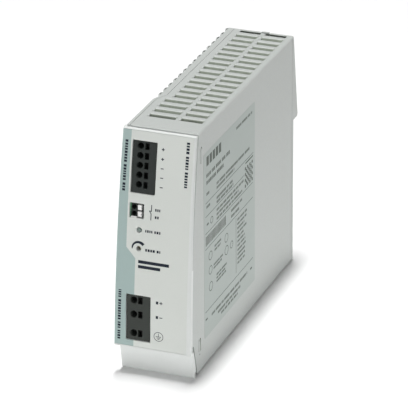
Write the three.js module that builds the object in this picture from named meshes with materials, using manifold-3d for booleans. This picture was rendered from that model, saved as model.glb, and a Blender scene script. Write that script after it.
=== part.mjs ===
// DIN rail power supply: a slim steel housing with a curved plastic front, push-in terminal blocks,
// a board with its power parts, and a sprung foot that grips a 35 mm rail.
// Millimetres. X runs to the right seen from the front, Y to the back, Z up.
// The origin is the centre of the footprint, on the plane that the housing stands on.

import * as THREE from 'three';
import { mergeVertices } from 'three/addons/utils/BufferGeometryUtils.js';
import Module from 'manifold-3d';

const wasm = await Module();
wasm.setup();

// ---- Driving dimensions ----

const WIDTH = 41.2;
const DEPTH = 160;
const HEIGHT = 130;
const RIGHT = WIDTH / 2;
const LEFT = -WIDTH / 2;
const FRONT = -DEPTH / 2;
const BACK = DEPTH / 2;

const SHEET = 0.8;              // steel sheet thickness
const GAP = 0.3;                // assembly gap between neighbouring pieces
const TOP_FACE = HEIGHT - 0.6;  // flat of the top sheet, with the louvres above it
const SHELL_RIGHT = RIGHT - 0.4;
const SHELL_FRONT = FRONT + 14.3;
const SHELL_FOOT_FRONT = FRONT + 10.4;
const SHELL_BACK = BACK - 6.6;

// The front plate is an arc seen from the side, nearly upright at its lower edge.
const PLATE = { radius: 657, arcZ: -5.7, nose: FRONT - 0.32, bottom: 14.7, top: HEIGHT - 1.4 };
const PLATE_SKIN = 2.4;
const PLATE_RIM = 0.8;          // plate thickness where the sheet edges tuck in behind it
const PLATE_TAPER = { left: 1.6, right: 1 };  // how far each side leans in over the plate's height
const BEVEL = 1.2;
const LABEL = { right: RIGHT - 2.4, bottom: PLATE.bottom + 0.8, top: PLATE.top - BEVEL, recess: 0.55 };

// Windows in the plate: X range and Z range.
const OUTPUT = { x: [-13.6, -0.7], z: [96.2, 122.5], poles: 5, pitch: 4.84, firstZ: 119.9 };
const SIGNAL = { x: [-13.6, -6.1], z: [83.5, 91.1], poles: 2, pitch: 3.4, firstZ: 89 };
const INPUT = { x: [-14.3, -1.3], z: [18.9, 43.4], poleZ: [40.6, 32.98, 22.82] };
const OUTPUT_HOLE = { x: -9.4, radius: 1.8, slotX: -5.9, slot: [2.3, 3.5] };
const INPUT_HOLE = { x: -10.2, radius: 2, slotX: -6.7, slot: [2.7, 3.7] };
const SIGNAL_HOLE = { x: -11.4, radius: 1, buttonX: -8.3, button: [2.1, 2.7] };
const LAMP = { x: -8.1, z: 77.7, radius: 1.35 };
const TRIMMER = { x: -8.2, z: 68.1, stem: 1.05, base: 2.4 };
const RELEASE_TRAVEL = 1.5;
const BUTTON_TRAVEL = 1;

// Louvres of the top sheet, two columns of slots running along X.
const LOUVRE = { rows: 19, pitch: 6.778, lastY: SHELL_BACK - 3.1, slot: 2.3, lip: 3 };
const LOUVRE_RIGHT = [5.3, 17];
const LOUVRE_LEFT = [-8.7, 2.8];
const LOUVRE_LEFT_LONG = [-11.4, 2.8];
const LONG_ROWS = 4;
const BOTTOM_SLOT = 2.4;

// The left cover is smooth at the front and steps in to a field of upright ribs.
const COVER = { face: -17.4, field: -16.1, stepStart: -32, stepEnd: -27.3 };
const SEAM = { front: -15.75, back: -12.75 };
const RIB = { count: 15, width: 4.4, rise: 1.1, bottom: 2, top: TOP_FACE - 0.3 };

// The 35 mm rail and what grips it.
const RAIL = { height: 35, z: 63.9 };
const RAIL_TOP = RAIL.z + RAIL.height / 2;
const RAIL_BOTTOM = RAIL.z - RAIL.height / 2;
const SEAT = SHELL_BACK;        // plane that the rail's flanges bear on
const HOOK_X = [-12, 16];
const REAR_PANEL = { left: -15, bottom: 1.1, y: [SHELL_BACK - 1.4, SHELL_BACK - 0.3] };
const SCREW_HOLE = 1.5;         // radius of the holes behind the rear screws
const HOOK_SCREWS = [[-6, RAIL_TOP + 14], [10, RAIL_TOP + 14]];
const GUIDE_SCREWS = [[-13.4, 21.5], [17.4, 21.5]];
const LATCH = { x: [-8, 12], thick: 1.5, bottom: 1, windowX: [0.2, 3.8] };
const SPRING = { x: 2, y: SEAT + 1.7, z: [14.8, 29.4], radius: 1.15, wire: 0.25, turns: 7 };

// The board stands beside the left cover, with its parts on the right face.
const BOARD = { x: [-14.6, -13], z: [5, 123], back: 69, frontInset: 3.4 };
const ON_BOARD = BOARD.x[1] + GAP;

// ---- Solids ----

function toSolid(geometry) {
  const bare = geometry.clone();
  bare.deleteAttribute('normal');
  bare.deleteAttribute('uv');
  const merged = mergeVertices(bare, 1e-5);
  const vertProperties = Float32Array.from(merged.attributes.position.array);
  const triVerts = Uint32Array.from(merged.index.array);
  return new wasm.Manifold(new wasm.Mesh({ numProp: 3, vertProperties, triVerts }));
}

function toGeometry(solid) {
  const mesh = solid.getMesh();
  const indexed = new THREE.BufferGeometry();
  indexed.setAttribute('position', new THREE.BufferAttribute(Float32Array.from(mesh.vertProperties), 3));
  indexed.setIndex(new THREE.BufferAttribute(Uint32Array.from(mesh.triVerts), 1));
  const faceted = indexed.toNonIndexed();
  faceted.computeVertexNormals();
  return faceted;
}

const join = (first, ...others) => others.reduce((whole, piece) => whole.add(piece), first);
const cut = (first, ...others) => others.reduce((whole, piece) => whole.subtract(piece), first);
const around = (centre, size) => [centre - size / 2, centre + size / 2];

// A box from its X, Y and Z ranges.
function box(x, y, z) {
  const geometry = new THREE.BoxGeometry(x[1] - x[0], y[1] - y[0], z[1] - z[0]);
  geometry.translate((x[0] + x[1]) / 2, (y[0] + y[1]) / 2, (z[0] + z[1]) / 2);
  return toSolid(geometry);
}

// An outline pushed along an axis: [y, z] points along X, [x, z] points along Y, [x, y] points along Z.
function prism(axis, span, points) {
  const shape = new THREE.Shape(points.map(([u, v]) => new THREE.Vector2(u, v)));
  const geometry = new THREE.ExtrudeGeometry(shape, { depth: span[1] - span[0], bevelEnabled: false });
  const place = {
    x: [0, 0, 1, span[0], 1, 0, 0, 0, 0, 1, 0, 0, 0, 0, 0, 1],
    y: [1, 0, 0, 0, 0, 0, -1, span[1], 0, 1, 0, 0, 0, 0, 0, 1],
    z: [1, 0, 0, 0, 0, 1, 0, 0, 0, 0, 1, span[0], 0, 0, 0, 1],
  };
  geometry.applyMatrix4(new THREE.Matrix4().set(...place[axis]));
  return toSolid(geometry);
}

function circle(radius, centre, sides) {
  const corner = (i) => (2 * Math.PI * i) / sides;
  return Array.from({ length: sides }, (_, i) => [
    centre[0] + radius * Math.cos(corner(i)),
    centre[1] + radius * Math.sin(corner(i)),
  ]);
}

function rod(axis, span, radius, centre, sides = 20) {
  return prism(axis, span, circle(radius, centre, sides));
}

// Y of the plate's front surface at a height.
function plateY(z) {
  const rise = z - PLATE.arcZ;
  return PLATE.nose + PLATE.radius - Math.sqrt(PLATE.radius ** 2 - rise ** 2);
}

// [y, z] points up the plate's arc, set back by an inset.
function plateArc(zLow, zHigh, inset, steps = 8) {
  return Array.from({ length: steps + 1 }, (_, i) => {
    const z = zLow + ((zHigh - zLow) * i) / steps;
    return [plateY(z) + inset, z];
  });
}

// A layer of the plate between two insets.
function plateLayer(x, z, insets) {
  const outer = plateArc(z[0], z[1], insets[0]);
  const inner = plateArc(z[0], z[1], insets[1]).reverse();
  return prism('x', x, [...outer, ...inner]);
}

// ---- The scene ----

const powerSupply = new THREE.Group();

const FINISH = {
  coatedSteel: { color: 0xcfd2d1, roughness: 0.45, metalness: 0.3 },
  zincSteel: { color: 0xb9bec0, roughness: 0.4, metalness: 0.9 },
  lightPlastic: { color: 0xdfe2e1, roughness: 0.5, metalness: 0 },
  film: { color: 0xced2ce, roughness: 0.55, metalness: 0 },
  sticker: { color: 0x9ba5a1, roughness: 0.6, metalness: 0 },
  blackPlastic: { color: 0x363b3a, roughness: 0.5, metalness: 0 },
  greyPlastic: { color: 0x484c48, roughness: 0.5, metalness: 0 },
  whitePlastic: { color: 0xf2f2f0, roughness: 0.4, metalness: 0 },
  lens: { color: 0x64736e, roughness: 0.25, metalness: 0 },
  board: { color: 0x1f5a3a, roughness: 0.5, metalness: 0 },
  sheetPlastic: { color: 0xe8e6dc, roughness: 0.5, metalness: 0 },
  ferrite: { color: 0x33322f, roughness: 0.6, metalness: 0.1 },
  tape: { color: 0xd9b23a, roughness: 0.5, metalness: 0 },
  copper: { color: 0xb87548, roughness: 0.35, metalness: 0.9 },
  capSleeve: { color: 0x1c2430, roughness: 0.4, metalness: 0 },
  aluminium: { color: 0xc4c8ca, roughness: 0.35, metalness: 0.9 },
  ceramic: { color: 0x3566a8, roughness: 0.4, metalness: 0 },
};

function addPart(name, solid, finish) {
  const mesh = new THREE.Mesh(toGeometry(solid), new THREE.MeshStandardMaterial(finish));
  mesh.name = name;
  powerSupply.add(mesh);
}

// ---- Steel housing ----

// [y, z] outline of a side sheet: its front edge follows the plate and steps back above the chin.
function sideOutline(back) {
  const behindPlate = plateArc(20.2, TOP_FACE - 1.5, PLATE_RIM + GAP).reverse();
  return [
    [back, TOP_FACE],
    [SHELL_FRONT, TOP_FACE],
    ...behindPlate,
    [FRONT + 5.6, 16.6],
    [SHELL_FOOT_FRONT - 0.7, 1],
    [SHELL_FOOT_FRONT, 0],
    [back, 0],
  ];
}

// [x, y] outline of the top or bottom sheet right of the seam.
function coverSheetOutline(front) {
  return [
    [SHELL_RIGHT, front],
    [SHELL_RIGHT, SHELL_BACK],
    [SEAM.back + GAP / 2, SHELL_BACK],
    [SEAM.back + GAP / 2, COVER.stepEnd + 3.4],
    [SEAM.front + GAP / 2, COVER.stepStart + 1.1],
    [SEAM.front + GAP / 2, front],
  ];
}

const louvreY = (row) => LOUVRE.lastY - row * LOUVRE.pitch;

function louvreColumns(row) {
  const fromFront = LOUVRE.rows - 1 - row;
  return [LOUVRE_RIGHT, fromFront < LONG_ROWS ? LOUVRE_LEFT_LONG : LOUVRE_LEFT];
}

function louvreSlot(x, y) {
  return box(x, around(y, LOUVRE.slot), [TOP_FACE - 2 * SHEET, HEIGHT + 1]);
}

// The raised lip behind a slot, pressed up from the sheet.
function louvreLip(x, y) {
  const start = y + LOUVRE.slot / 2;
  return prism('x', x, [
    [start, TOP_FACE - SHEET / 2],
    [start, HEIGHT],
    [start + LOUVRE.lip * 0.55, HEIGHT],
    [start + LOUVRE.lip, TOP_FACE - SHEET / 2],
  ]);
}

function makeHood() {
  const top = prism('z', [TOP_FACE - SHEET, TOP_FACE], coverSheetOutline(SHELL_FRONT));
  const bottom = prism('z', [0, SHEET], coverSheetOutline(SHELL_FOOT_FRONT));
  const side = prism('x', [SHELL_RIGHT - SHEET, SHELL_RIGHT], sideOutline(SHELL_BACK - 2.4));
  const lips = [];
  const slots = [];
  for (let row = 0; row < LOUVRE.rows; row += 1) {
    const y = louvreY(row);
    for (const x of louvreColumns(row)) {
      slots.push(louvreSlot(x, y));
      if (row > 0) lips.push(louvreLip(x, y));
    }
  }
  for (let row = 1; row < LOUVRE.rows - 3; row += 1) {
    const y = around(louvreY(row), BOTTOM_SLOT);
    for (const x of [LOUVRE_RIGHT, LOUVRE_LEFT]) slots.push(box(x, y, [-1, 2 * SHEET]));
  }
  const tabNotch = box([2.5, 7.1], [SHELL_BACK - 1.7, SHELL_BACK + 1], [TOP_FACE - 2, HEIGHT + 1]);
  const upperLance = box([SHELL_RIGHT - 2, SHELL_RIGHT + 1], around(SHELL_FRONT + 2.9, 0.8), [113, 121.2]);
  const lowerLance = box([SHELL_RIGHT - 2, SHELL_RIGHT + 1], around(SHELL_FRONT - 1.1, 0.8), [11.6, 18.2]);
  return cut(join(top, bottom, side, ...lips), ...slots, tabNotch, upperLance, lowerLance);
}

// Upright half-round rib on the left cover's field.
function coverRib(y) {
  const face = COVER.field;
  const half = RIB.width / 2;
  return prism('z', [RIB.bottom, RIB.top], [
    [face + SHEET / 2, y + half],
    [face, y + half],
    [face - RIB.rise * 0.75, y + half * 0.65],
    [face - RIB.rise, y],
    [face - RIB.rise * 0.75, y - half * 0.65],
    [face, y - half],
    [face + SHEET / 2, y - half],
  ]);
}

function coverFlange(front, z) {
  return prism('z', z, [
    [COVER.face, front],
    [COVER.face, COVER.stepStart],
    [COVER.field, COVER.stepEnd],
    [COVER.field, SHELL_BACK],
    [SEAM.back - GAP / 2, SHELL_BACK],
    [SEAM.back - GAP / 2, COVER.stepEnd + 3.4],
    [SEAM.front - GAP / 2, COVER.stepStart + 1.1],
    [SEAM.front - GAP / 2, front],
  ]);
}

const COVER_SCREWS = [[-61, 118], [-69, 26], [-40, 8]];

function makeLeftCover() {
  const back = SHELL_BACK - 0.5;
  const sheet = prism('z', [0, TOP_FACE], [
    [COVER.face, FRONT],
    [COVER.face, COVER.stepStart],
    [COVER.field, COVER.stepEnd],
    [COVER.field, back],
    [COVER.field + SHEET, back],
    [COVER.field + SHEET, COVER.stepEnd + 0.4],
    [COVER.face + SHEET, COVER.stepStart + 0.3],
    [COVER.face + SHEET, FRONT],
  ]).intersect(prism('x', [LEFT, 0], sideOutline(SHELL_BACK)));
  const ribs = Array.from({ length: RIB.count }, (_, i) => coverRib(louvreY(i) + 0.2));
  const top = coverFlange(SHELL_FRONT, [TOP_FACE - SHEET, TOP_FACE]);
  const bottom = coverFlange(SHELL_FOOT_FRONT, [0, SHEET]);
  const holes = COVER_SCREWS.map((place) => rod('x', [LEFT, -15], 1.7, place, 12));
  return cut(join(sheet, ...ribs, top, bottom), ...holes);
}

function coverScrew(place) {
  const head = rod('x', [COVER.face - 0.8, COVER.face - 0.1], 2.6, place, 16);
  const shank = rod('x', [COVER.face - 0.2, COVER.face + 1.1], 1.4, place, 12);
  const drive = box([COVER.face - 1, COVER.face - 0.4], around(place[0], 0.7), around(place[1], 3.4));
  return cut(join(head, shank), drive);
}

// Side cheek of the rear chassis, with the sloping wedge above the rail.
function chassisCheek(x) {
  const underside = RAIL_TOP + 0.4;
  return prism('x', x, [
    [SHELL_BACK - 2.1, REAR_PANEL.bottom],
    [SHELL_BACK - 2.1, TOP_FACE - SHEET - GAP],
    [SHELL_BACK, TOP_FACE - SHEET - GAP],
    [BACK, underside + 1.6],
    [BACK - 0.3, underside + 0.6],
    [BACK - 1.1, underside],
    [SHELL_BACK, underside],
    [SHELL_BACK, REAR_PANEL.bottom],
  ]);
}

function screwHole(place) {
  return rod('y', [SHELL_BACK - 5, BACK], SCREW_HOLE, place, 12);
}

function makeRearChassis() {
  const { left, bottom, y } = REAR_PANEL;
  const panel = box([left, SHELL_RIGHT], y, [bottom, TOP_FACE - SHEET - GAP]);
  const tab = box([2.8, 6.8], y, [TOP_FACE - 2, HEIGHT - 0.1]);
  const seat = box([-13, 18], [SHELL_BACK - 0.6, SEAT], [RAIL_BOTTOM + 3.2, RAIL_TOP - 3]);
  const leftCheek = chassisCheek([left, left + SHEET]);
  const rightCheek = chassisCheek([SHELL_RIGHT - SHEET, SHELL_RIGHT]);
  const holes = [...HOOK_SCREWS, ...GUIDE_SCREWS].map(screwHole);
  return cut(join(panel, tab, seat, leftCheek, rightCheek), ...holes);
}

addPart('hood', makeHood(), FINISH.coatedSteel);
addPart('left_cover', makeLeftCover(), FINISH.coatedSteel);
addPart('rear_chassis', makeRearChassis(), FINISH.coatedSteel);
COVER_SCREWS.forEach((place, i) => addPart(`cover_screw_${i + 1}`, coverScrew(place), FINISH.zincSteel));

// ---- Rail fixing ----

function makeRailHook() {
  const seatZ = RAIL_TOP + 0.2;
  const body = prism('x', HOOK_X, [
    [SEAT + 0.1, seatZ],
    [SEAT + 0.1, seatZ + 17],
    [SEAT + 1.8, seatZ + 17],
    [SEAT + 1.8, seatZ + 10.5],
    [BACK - 0.8, seatZ + 3],
    [BACK - 0.8, seatZ],
    [SEAT + 3.6, seatZ - 2.4],
    [SEAT + 1.5, seatZ - 2.4],
    [SEAT + 1.5, seatZ],
  ]);
  return cut(body, ...HOOK_SCREWS.map(screwHole));
}

function makeFootLatch() {
  const inner = SEAT + GAP;
  const outer = inner + LATCH.thick;
  const blade = prism('x', LATCH.x, [
    [inner, LATCH.bottom],
    [inner, RAIL_BOTTOM - 0.4],
    [SEAT + 1.5, RAIL_BOTTOM - 0.4],
    [SEAT + 1.5, RAIL_BOTTOM + 2],
    [SEAT + 3.5, RAIL_BOTTOM - 0.2],
    [SEAT + 3.5, 41.5],
    [outer, 39.5],
    [outer, 8],
    [outer + 1.2, 7],
    [outer + 1.2, LATCH.bottom],
  ]);
  const window = box(LATCH.windowX, [SEAT, BACK], [SPRING.z[0] - 3, SPRING.z[1] + 0.2]);
  const pry = box([-1, 5], [SEAT, BACK], [3, 5.6]);
  return cut(blade, window, pry);
}

// Bridge over the latch, with the finger that the spring stands on.
function makeLatchGuide() {
  const bridge = box([-11, 15], [SEAT + 0.1, SEAT + 4.6], [11, 32]);
  const channel = box([LATCH.x[0] - 0.4, LATCH.x[1] + 0.4], [SEAT - 1, SEAT + 3.4], [10, 33]);
  const feet = box([-15.6, 19.6], [SEAT + 0.1, SEAT + 1.2], [18, 25]);
  const finger = box([0.7, 3.3], [SEAT + 0.5, SEAT + 3.6], [12.3, SPRING.z[0] - 0.2]);
  return join(cut(join(bridge, feet), channel, ...GUIDE_SCREWS.map(screwHole)), finger);
}

// A pan head behind the chassis, with its shank through the panel.
function rearScrew([x, z], headY) {
  const head = rod('y', [headY, headY + 1.1], 2.3, [x, z], 16);
  const shank = rod('y', [SEAT - 3, headY + 0.1], 1.2, [x, z], 12);
  const drive = box(around(x, 3), [headY + 0.6, headY + 2], around(z, 0.7));
  return cut(join(head, shank), drive);
}

function makeLatchSpring() {
  const length = SPRING.z[1] - SPRING.z[0] - 2 * SPRING.wire;
  class Helix extends THREE.Curve {
    getPoint(t, target = new THREE.Vector3()) {
      const turn = 2 * Math.PI * SPRING.turns * t;
      const z = SPRING.z[0] + SPRING.wire + length * t;
      const x = SPRING.x + SPRING.radius * Math.cos(turn);
      return target.set(x, SPRING.y + SPRING.radius * Math.sin(turn), z);
    }
  }
  const section = new THREE.Shape(circle(SPRING.wire, [0, 0], 6).map(([u, v]) => new THREE.Vector2(u, v)));
  const options = { steps: SPRING.turns * 10, extrudePath: new Helix(), bevelEnabled: false };
  return toSolid(new THREE.ExtrudeGeometry(section, options));
}

addPart('rail_hook', makeRailHook(), FINISH.zincSteel);
addPart('foot_latch', makeFootLatch(), FINISH.zincSteel);
addPart('latch_guide', makeLatchGuide(), FINISH.zincSteel);
addPart('latch_spring', makeLatchSpring(), FINISH.zincSteel);
HOOK_SCREWS.forEach((place, i) => {
  addPart(`hook_screw_${i + 1}`, rearScrew(place, SEAT + 1.8 + 0.1), FINISH.zincSteel);
});
GUIDE_SCREWS.forEach((place, i) => {
  addPart(`guide_screw_${i + 1}`, rearScrew(place, SEAT + 1.2 + 0.1), FINISH.zincSteel);
});

// ---- Plastic front ----

const COLLAR_X = [COVER.face + 1.1, SHELL_RIGHT - SHEET - GAP];
const FRONT_WALL = 1.2;         // wall thickness of the collar and the chin's ends

const windowCut = ({ x, z }) => box(x, [FRONT - 5, FRONT + 20], z);
const lampHole = () => rod('y', [FRONT - 5, FRONT + 20], LAMP.radius + GAP, [LAMP.x, LAMP.z]);
const trimmerHole = () => rod('y', [FRONT - 5, FRONT + 20], TRIMMER.stem + GAP, [TRIMMER.x, TRIMMER.z]);

// The plate's outline seen from the front: both sides lean in towards the top.
function taperedColumn() {
  return prism('y', [FRONT - 5, SHELL_FRONT + 9], [
    [LEFT, PLATE.bottom - 1],
    [RIGHT, PLATE.bottom - 1],
    [RIGHT, PLATE.bottom],
    [RIGHT - PLATE_TAPER.right, PLATE.top],
    [LEFT + PLATE_TAPER.left, PLATE.top],
    [LEFT, PLATE.bottom],
  ]);
}

function makePlate() {
  const edge = PLATE.top - BEVEL;
  const front = [...plateArc(PLATE.bottom, edge, 0), [plateY(edge) + BEVEL, PLATE.top]];
  const behind = [PLATE_RIM - 0.2, PLATE_SKIN];
  const rim = prism('x', [LEFT, RIGHT], [...front, ...plateArc(PLATE.bottom, PLATE.top, BEVEL).reverse()])
    .subtract(plateLayer([LEFT - 1, RIGHT + 1], [0, HEIGHT], [PLATE_RIM, BEVEL + 1]));
  const skin = plateLayer(COLLAR_X, [PLATE.bottom, PLATE.top - 0.3], behind)
    .subtract(box([LEFT, RIGHT], [SHELL_FRONT - 4, 0], [PLATE.top - 0.9, HEIGHT]));
  const leftEdge = plateLayer([LEFT, COVER.face - GAP], [PLATE.bottom, PLATE.top], behind);
  const recess = plateLayer([LEFT - 1, LABEL.right], [LABEL.bottom, LABEL.top], [-1, LABEL.recess]);
  return cut(join(rim, skin, leftEdge), recess).intersect(taperedColumn());
}

// Walls behind the plate that slide into the steel housing.
function makeCollar() {
  const back = SHELL_FRONT + 5;
  const outline = (inset) => [
    ...plateArc(PLATE.bottom, TOP_FACE - SHEET - GAP - inset, PLATE_SKIN - 0.5 - inset),
    [back + inset, TOP_FACE - SHEET - GAP - inset],
    [back + inset, SHEET + GAP + inset],
    [FRONT + 9.5 - inset, SHEET + GAP + inset],
    [FRONT + 6.2 - inset, PLATE.bottom],
  ];
  const inner = [COLLAR_X[0] + FRONT_WALL, COLLAR_X[1] - FRONT_WALL];
  return cut(prism('x', COLLAR_X, outline(0)), prism('x', inner, outline(FRONT_WALL)));
}

// The chin below the plate slopes back to the foot.
function makeChin() {
  const x = [LEFT + 1.95, RIGHT - 0.3];
  const topZ = PLATE.bottom + 0.6;
  const face = prism('x', x, [
    [FRONT + 2.8, topZ],
    [FRONT + 4.9, 1],
    [FRONT + 5.6, 0],
    [FRONT + 8.7, 0],
    [FRONT + 8.7, SHEET + 1.2],
    [FRONT + 7.2, SHEET + 1.2],
    [FRONT + 5.1, topZ],
  ]);
  const cheekOutline = [
    [FRONT + 2.8, topZ],
    [FRONT + 4.9, 1],
    [FRONT + 5.6, 0],
    [FRONT + 8.7, 0],
    [FRONT + 5.1, topZ],
  ];
  const ends = [[x[0], x[0] + FRONT_WALL], [x[1] - FRONT_WALL, x[1]]];
  const cheeks = ends.map((span) => prism('x', span, cheekOutline));
  const ledge = box(x, [FRONT + 1, FRONT + 5], [PLATE.bottom, PLATE.bottom + 1.2])
    .intersect(plateLayer(x, [PLATE.bottom, 20], [PLATE_RIM - 0.2, 10]));
  return join(face, ...cheeks, ledge);
}

function makeFrontFrame() {
  const body = join(makePlate(), makeCollar(), makeChin());
  return cut(body, windowCut(OUTPUT), windowCut(SIGNAL), windowCut(INPUT), lampHole(), trimmerHole());
}

function makeFrontLabel() {
  const film = plateLayer([LEFT, LABEL.right - 0.15], [LABEL.bottom + 0.1, LABEL.top - 0.1], [0.05, 0.35])
    .intersect(taperedColumn());
  return cut(film, windowCut(OUTPUT), windowCut(SIGNAL), windowCut(INPUT), lampHole(), trimmerHole());
}

addPart('front_frame', makeFrontFrame(), FINISH.lightPlastic);
addPart('front_label', makeFrontLabel(), FINISH.film);
addPart('rating_label', box([SHELL_RIGHT + 0.05, RIGHT], [-59.8, 13.5], [15, 115.8]), FINISH.sticker);

// ---- Terminal blocks ----

const OUTPUT_POLES = Array.from({ length: OUTPUT.poles }, (_, i) => OUTPUT.firstZ - i * OUTPUT.pitch);
const SIGNAL_POLES = Array.from({ length: SIGNAL.poles }, (_, i) => SIGNAL.firstZ - i * SIGNAL.pitch);
const SLIP = 0.2;               // running gap around a sliding piece
const POWER_DEPTH = 17;         // from the plate's surface to the back of a power block
const SIGNAL_DEPTH = 12;
const POWER_ENTRY = 12;         // depth of a wire hole
const SIGNAL_ENTRY = 8;
const WINDOW_GAP = 0.25;
const RELEASE_RECESS = 1.4;
const RELEASE_LENGTH = 9;
const RELEASE_POCKET = RELEASE_RECESS + RELEASE_LENGTH + RELEASE_TRAVEL + GAP;
const BUTTON_RECESS = 0.4;
const BUTTON_LENGTH = 7;
const BUTTON_POCKET = BUTTON_RECESS + BUTTON_LENGTH + BUTTON_TRAVEL + GAP;

// A block that fills its window, with its body standing on the board behind it.
function blockBody(window, inset, depth) {
  const z = [window.z[0] + WINDOW_GAP, window.z[1] - WINDOW_GAP];
  const x = [Math.max(window.x[0] + WINDOW_GAP, ON_BOARD), window.x[1] - WINDOW_GAP];
  const body = plateLayer(x, z, [inset, depth]);
  const lip = plateLayer([window.x[0] + WINDOW_GAP, x[0] + 1], z, [inset, BOARD.frontInset - GAP]);
  return inset < 0.5 ? join(body, lip) : body;
}

function powerTerminal(window, poles, hole) {
  const slotX = around(hole.slotX, hole.slot[0]);
  const cuts = poles.flatMap((z) => [
    rod('y', [plateY(z) - 2, plateY(z) + POWER_ENTRY], hole.radius, [hole.x, z], 16),
    box(slotX, [plateY(z) - 2, plateY(z) + RELEASE_POCKET], around(z, hole.slot[1])),
  ]);
  return cut(blockBody(window, 0.3, POWER_DEPTH), ...cuts);
}

function releasePusher(z, hole) {
  const y = [plateY(z) + RELEASE_RECESS, plateY(z) + RELEASE_RECESS + RELEASE_LENGTH];
  return box(around(hole.slotX, hole.slot[0] - 2 * SLIP), y, around(z, hole.slot[1] - 2 * SLIP));
}

function signalTerminal() {
  const pocketX = around(SIGNAL_HOLE.buttonX, SIGNAL_HOLE.button[0] + 2 * SLIP);
  const cuts = SIGNAL_POLES.flatMap((z) => [
    rod('y', [plateY(z) - 2, plateY(z) + SIGNAL_ENTRY], SIGNAL_HOLE.radius, [SIGNAL_HOLE.x, z], 12),
    box(pocketX, [plateY(z) - 2, plateY(z) + BUTTON_POCKET], around(z, SIGNAL_HOLE.button[1] + 2 * SLIP)),
  ]);
  return cut(blockBody(SIGNAL, 1.1, SIGNAL_DEPTH), ...cuts);
}

function signalButton(z) {
  const y = [plateY(z) + BUTTON_RECESS, plateY(z) + BUTTON_RECESS + BUTTON_LENGTH];
  return box(around(SIGNAL_HOLE.buttonX, SIGNAL_HOLE.button[0]), y, around(z, SIGNAL_HOLE.button[1]));
}

// A bar that joins the clamps of neighbouring poles behind a block.
function contactBar(poles) {
  const x = OUTPUT_HOLE.x - 0.2;
  const zTop = poles[0] + 1.5;
  const zBottom = poles[poles.length - 1] - 1.5;
  const front = plateY(zTop) + POWER_DEPTH + GAP;
  const plate = box([x, x + 4], [front, front + 1.2], [zBottom, zTop]);
  const foot = box([ON_BOARD, x + 1], [front, front + 1.2], [zBottom, zBottom + 3]);
  return join(plate, foot);
}

addPart('output_terminal', powerTerminal(OUTPUT, OUTPUT_POLES, OUTPUT_HOLE), FINISH.blackPlastic);
addPart('input_terminal', powerTerminal(INPUT, INPUT.poleZ, INPUT_HOLE), FINISH.greyPlastic);
addPart('signal_terminal', signalTerminal(), FINISH.blackPlastic);
OUTPUT_POLES.forEach((z, i) => {
  addPart(`output_release_${i + 1}`, releasePusher(z, OUTPUT_HOLE), FINISH.blackPlastic);
});
INPUT.poleZ.forEach((z, i) => {
  addPart(`input_release_${i + 1}`, releasePusher(z, INPUT_HOLE), FINISH.blackPlastic);
});
SIGNAL_POLES.forEach((z, i) => addPart(`signal_button_${i + 1}`, signalButton(z), FINISH.whitePlastic));
addPart('plus_bar', contactBar(OUTPUT_POLES.slice(0, 2)), FINISH.copper);
addPart('minus_bar', contactBar(OUTPUT_POLES.slice(2)), FINISH.copper);

// ---- Lamp and trimmer ----

function makeLampPipe() {
  const pipe = rod('y', [plateY(LAMP.z) + 0.1, plateY(LAMP.z) + 12], LAMP.radius, [LAMP.x, LAMP.z]);
  const foot = box([ON_BOARD, LAMP.x], [plateY(LAMP.z) + 8, plateY(LAMP.z) + 12], around(LAMP.z, 2.4));
  return join(pipe, foot);
}

function makeTrimmerRotor() {
  const face = plateY(TRIMMER.z) + 1.2;
  const stem = rod('y', [face, face + 5], TRIMMER.stem, [TRIMMER.x, TRIMMER.z], 16);
  const base = rod('y', [face + 4.8, face + 7.2], TRIMMER.base, [TRIMMER.x, TRIMMER.z], 24);
  const drive = box(around(TRIMMER.x, 3), [face - 1, face + 0.8], around(TRIMMER.z, 0.5));
  return cut(join(stem, base), drive);
}

function makeTrimmerBody() {
  const face = plateY(TRIMMER.z) + 6.2;
  const body = box([ON_BOARD, TRIMMER.x + 3.5], [face, face + 6], around(TRIMMER.z, 7));
  const bore = rod('y', [face - 1, face + 2.6], TRIMMER.base + GAP, [TRIMMER.x, TRIMMER.z], 24);
  return cut(body, bore);
}

addPart('lamp_pipe', makeLampPipe(), FINISH.lens);
addPart('trimmer_rotor', makeTrimmerRotor(), FINISH.whitePlastic);
addPart('trimmer_body', makeTrimmerBody(), FINISH.ceramic);

// ---- Board and power parts ----

function makeBoard() {
  return prism('x', BOARD.x, [
    [FRONT + 8.5, BOARD.z[0]],
    [FRONT + 8.5, 16],
    ...plateArc(17, BOARD.z[1], BOARD.frontInset),
    [BOARD.back, BOARD.z[1]],
    [BOARD.back, BOARD.z[0]],
  ]);
}

// A round part standing on the board: a can, a coil or a pillar.
function standing(radius, place, height, sides = 24) {
  return rod('x', [ON_BOARD, ON_BOARD + height], radius, place, sides);
}

function coil({ radius, bore, place, height }) {
  return cut(standing(radius, place, height), rod('x', [LEFT, RIGHT], bore, place, 16));
}

// A capacitor can with the rolled groove near its foot.
function capacitor({ radius, height }, place) {
  const band = rod('x', [ON_BOARD + 2, ON_BOARD + 3], radius + 1, place);
  const groove = cut(band, rod('x', [LEFT, RIGHT], radius - 0.5, place));
  return cut(standing(radius, place, height), groove);
}

const CORE = { x: [ON_BOARD, ON_BOARD + 26], y: [-12, 24], z: [50, 82], leg: 11, limb: 5, back: 4 };

function makeTransformerCore() {
  const middle = (CORE.y[0] + CORE.y[1]) / 2;
  const inner = [CORE.x[0] + CORE.back, CORE.x[1] - CORE.back];
  const frontWindow = box(inner, [CORE.y[0] + CORE.limb, middle - CORE.leg / 2], [0, HEIGHT]);
  const backWindow = box(inner, [middle + CORE.leg / 2, CORE.y[1] - CORE.limb], [0, HEIGHT]);
  return cut(box(CORE.x, CORE.y, CORE.z), frontWindow, backWindow);
}

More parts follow.
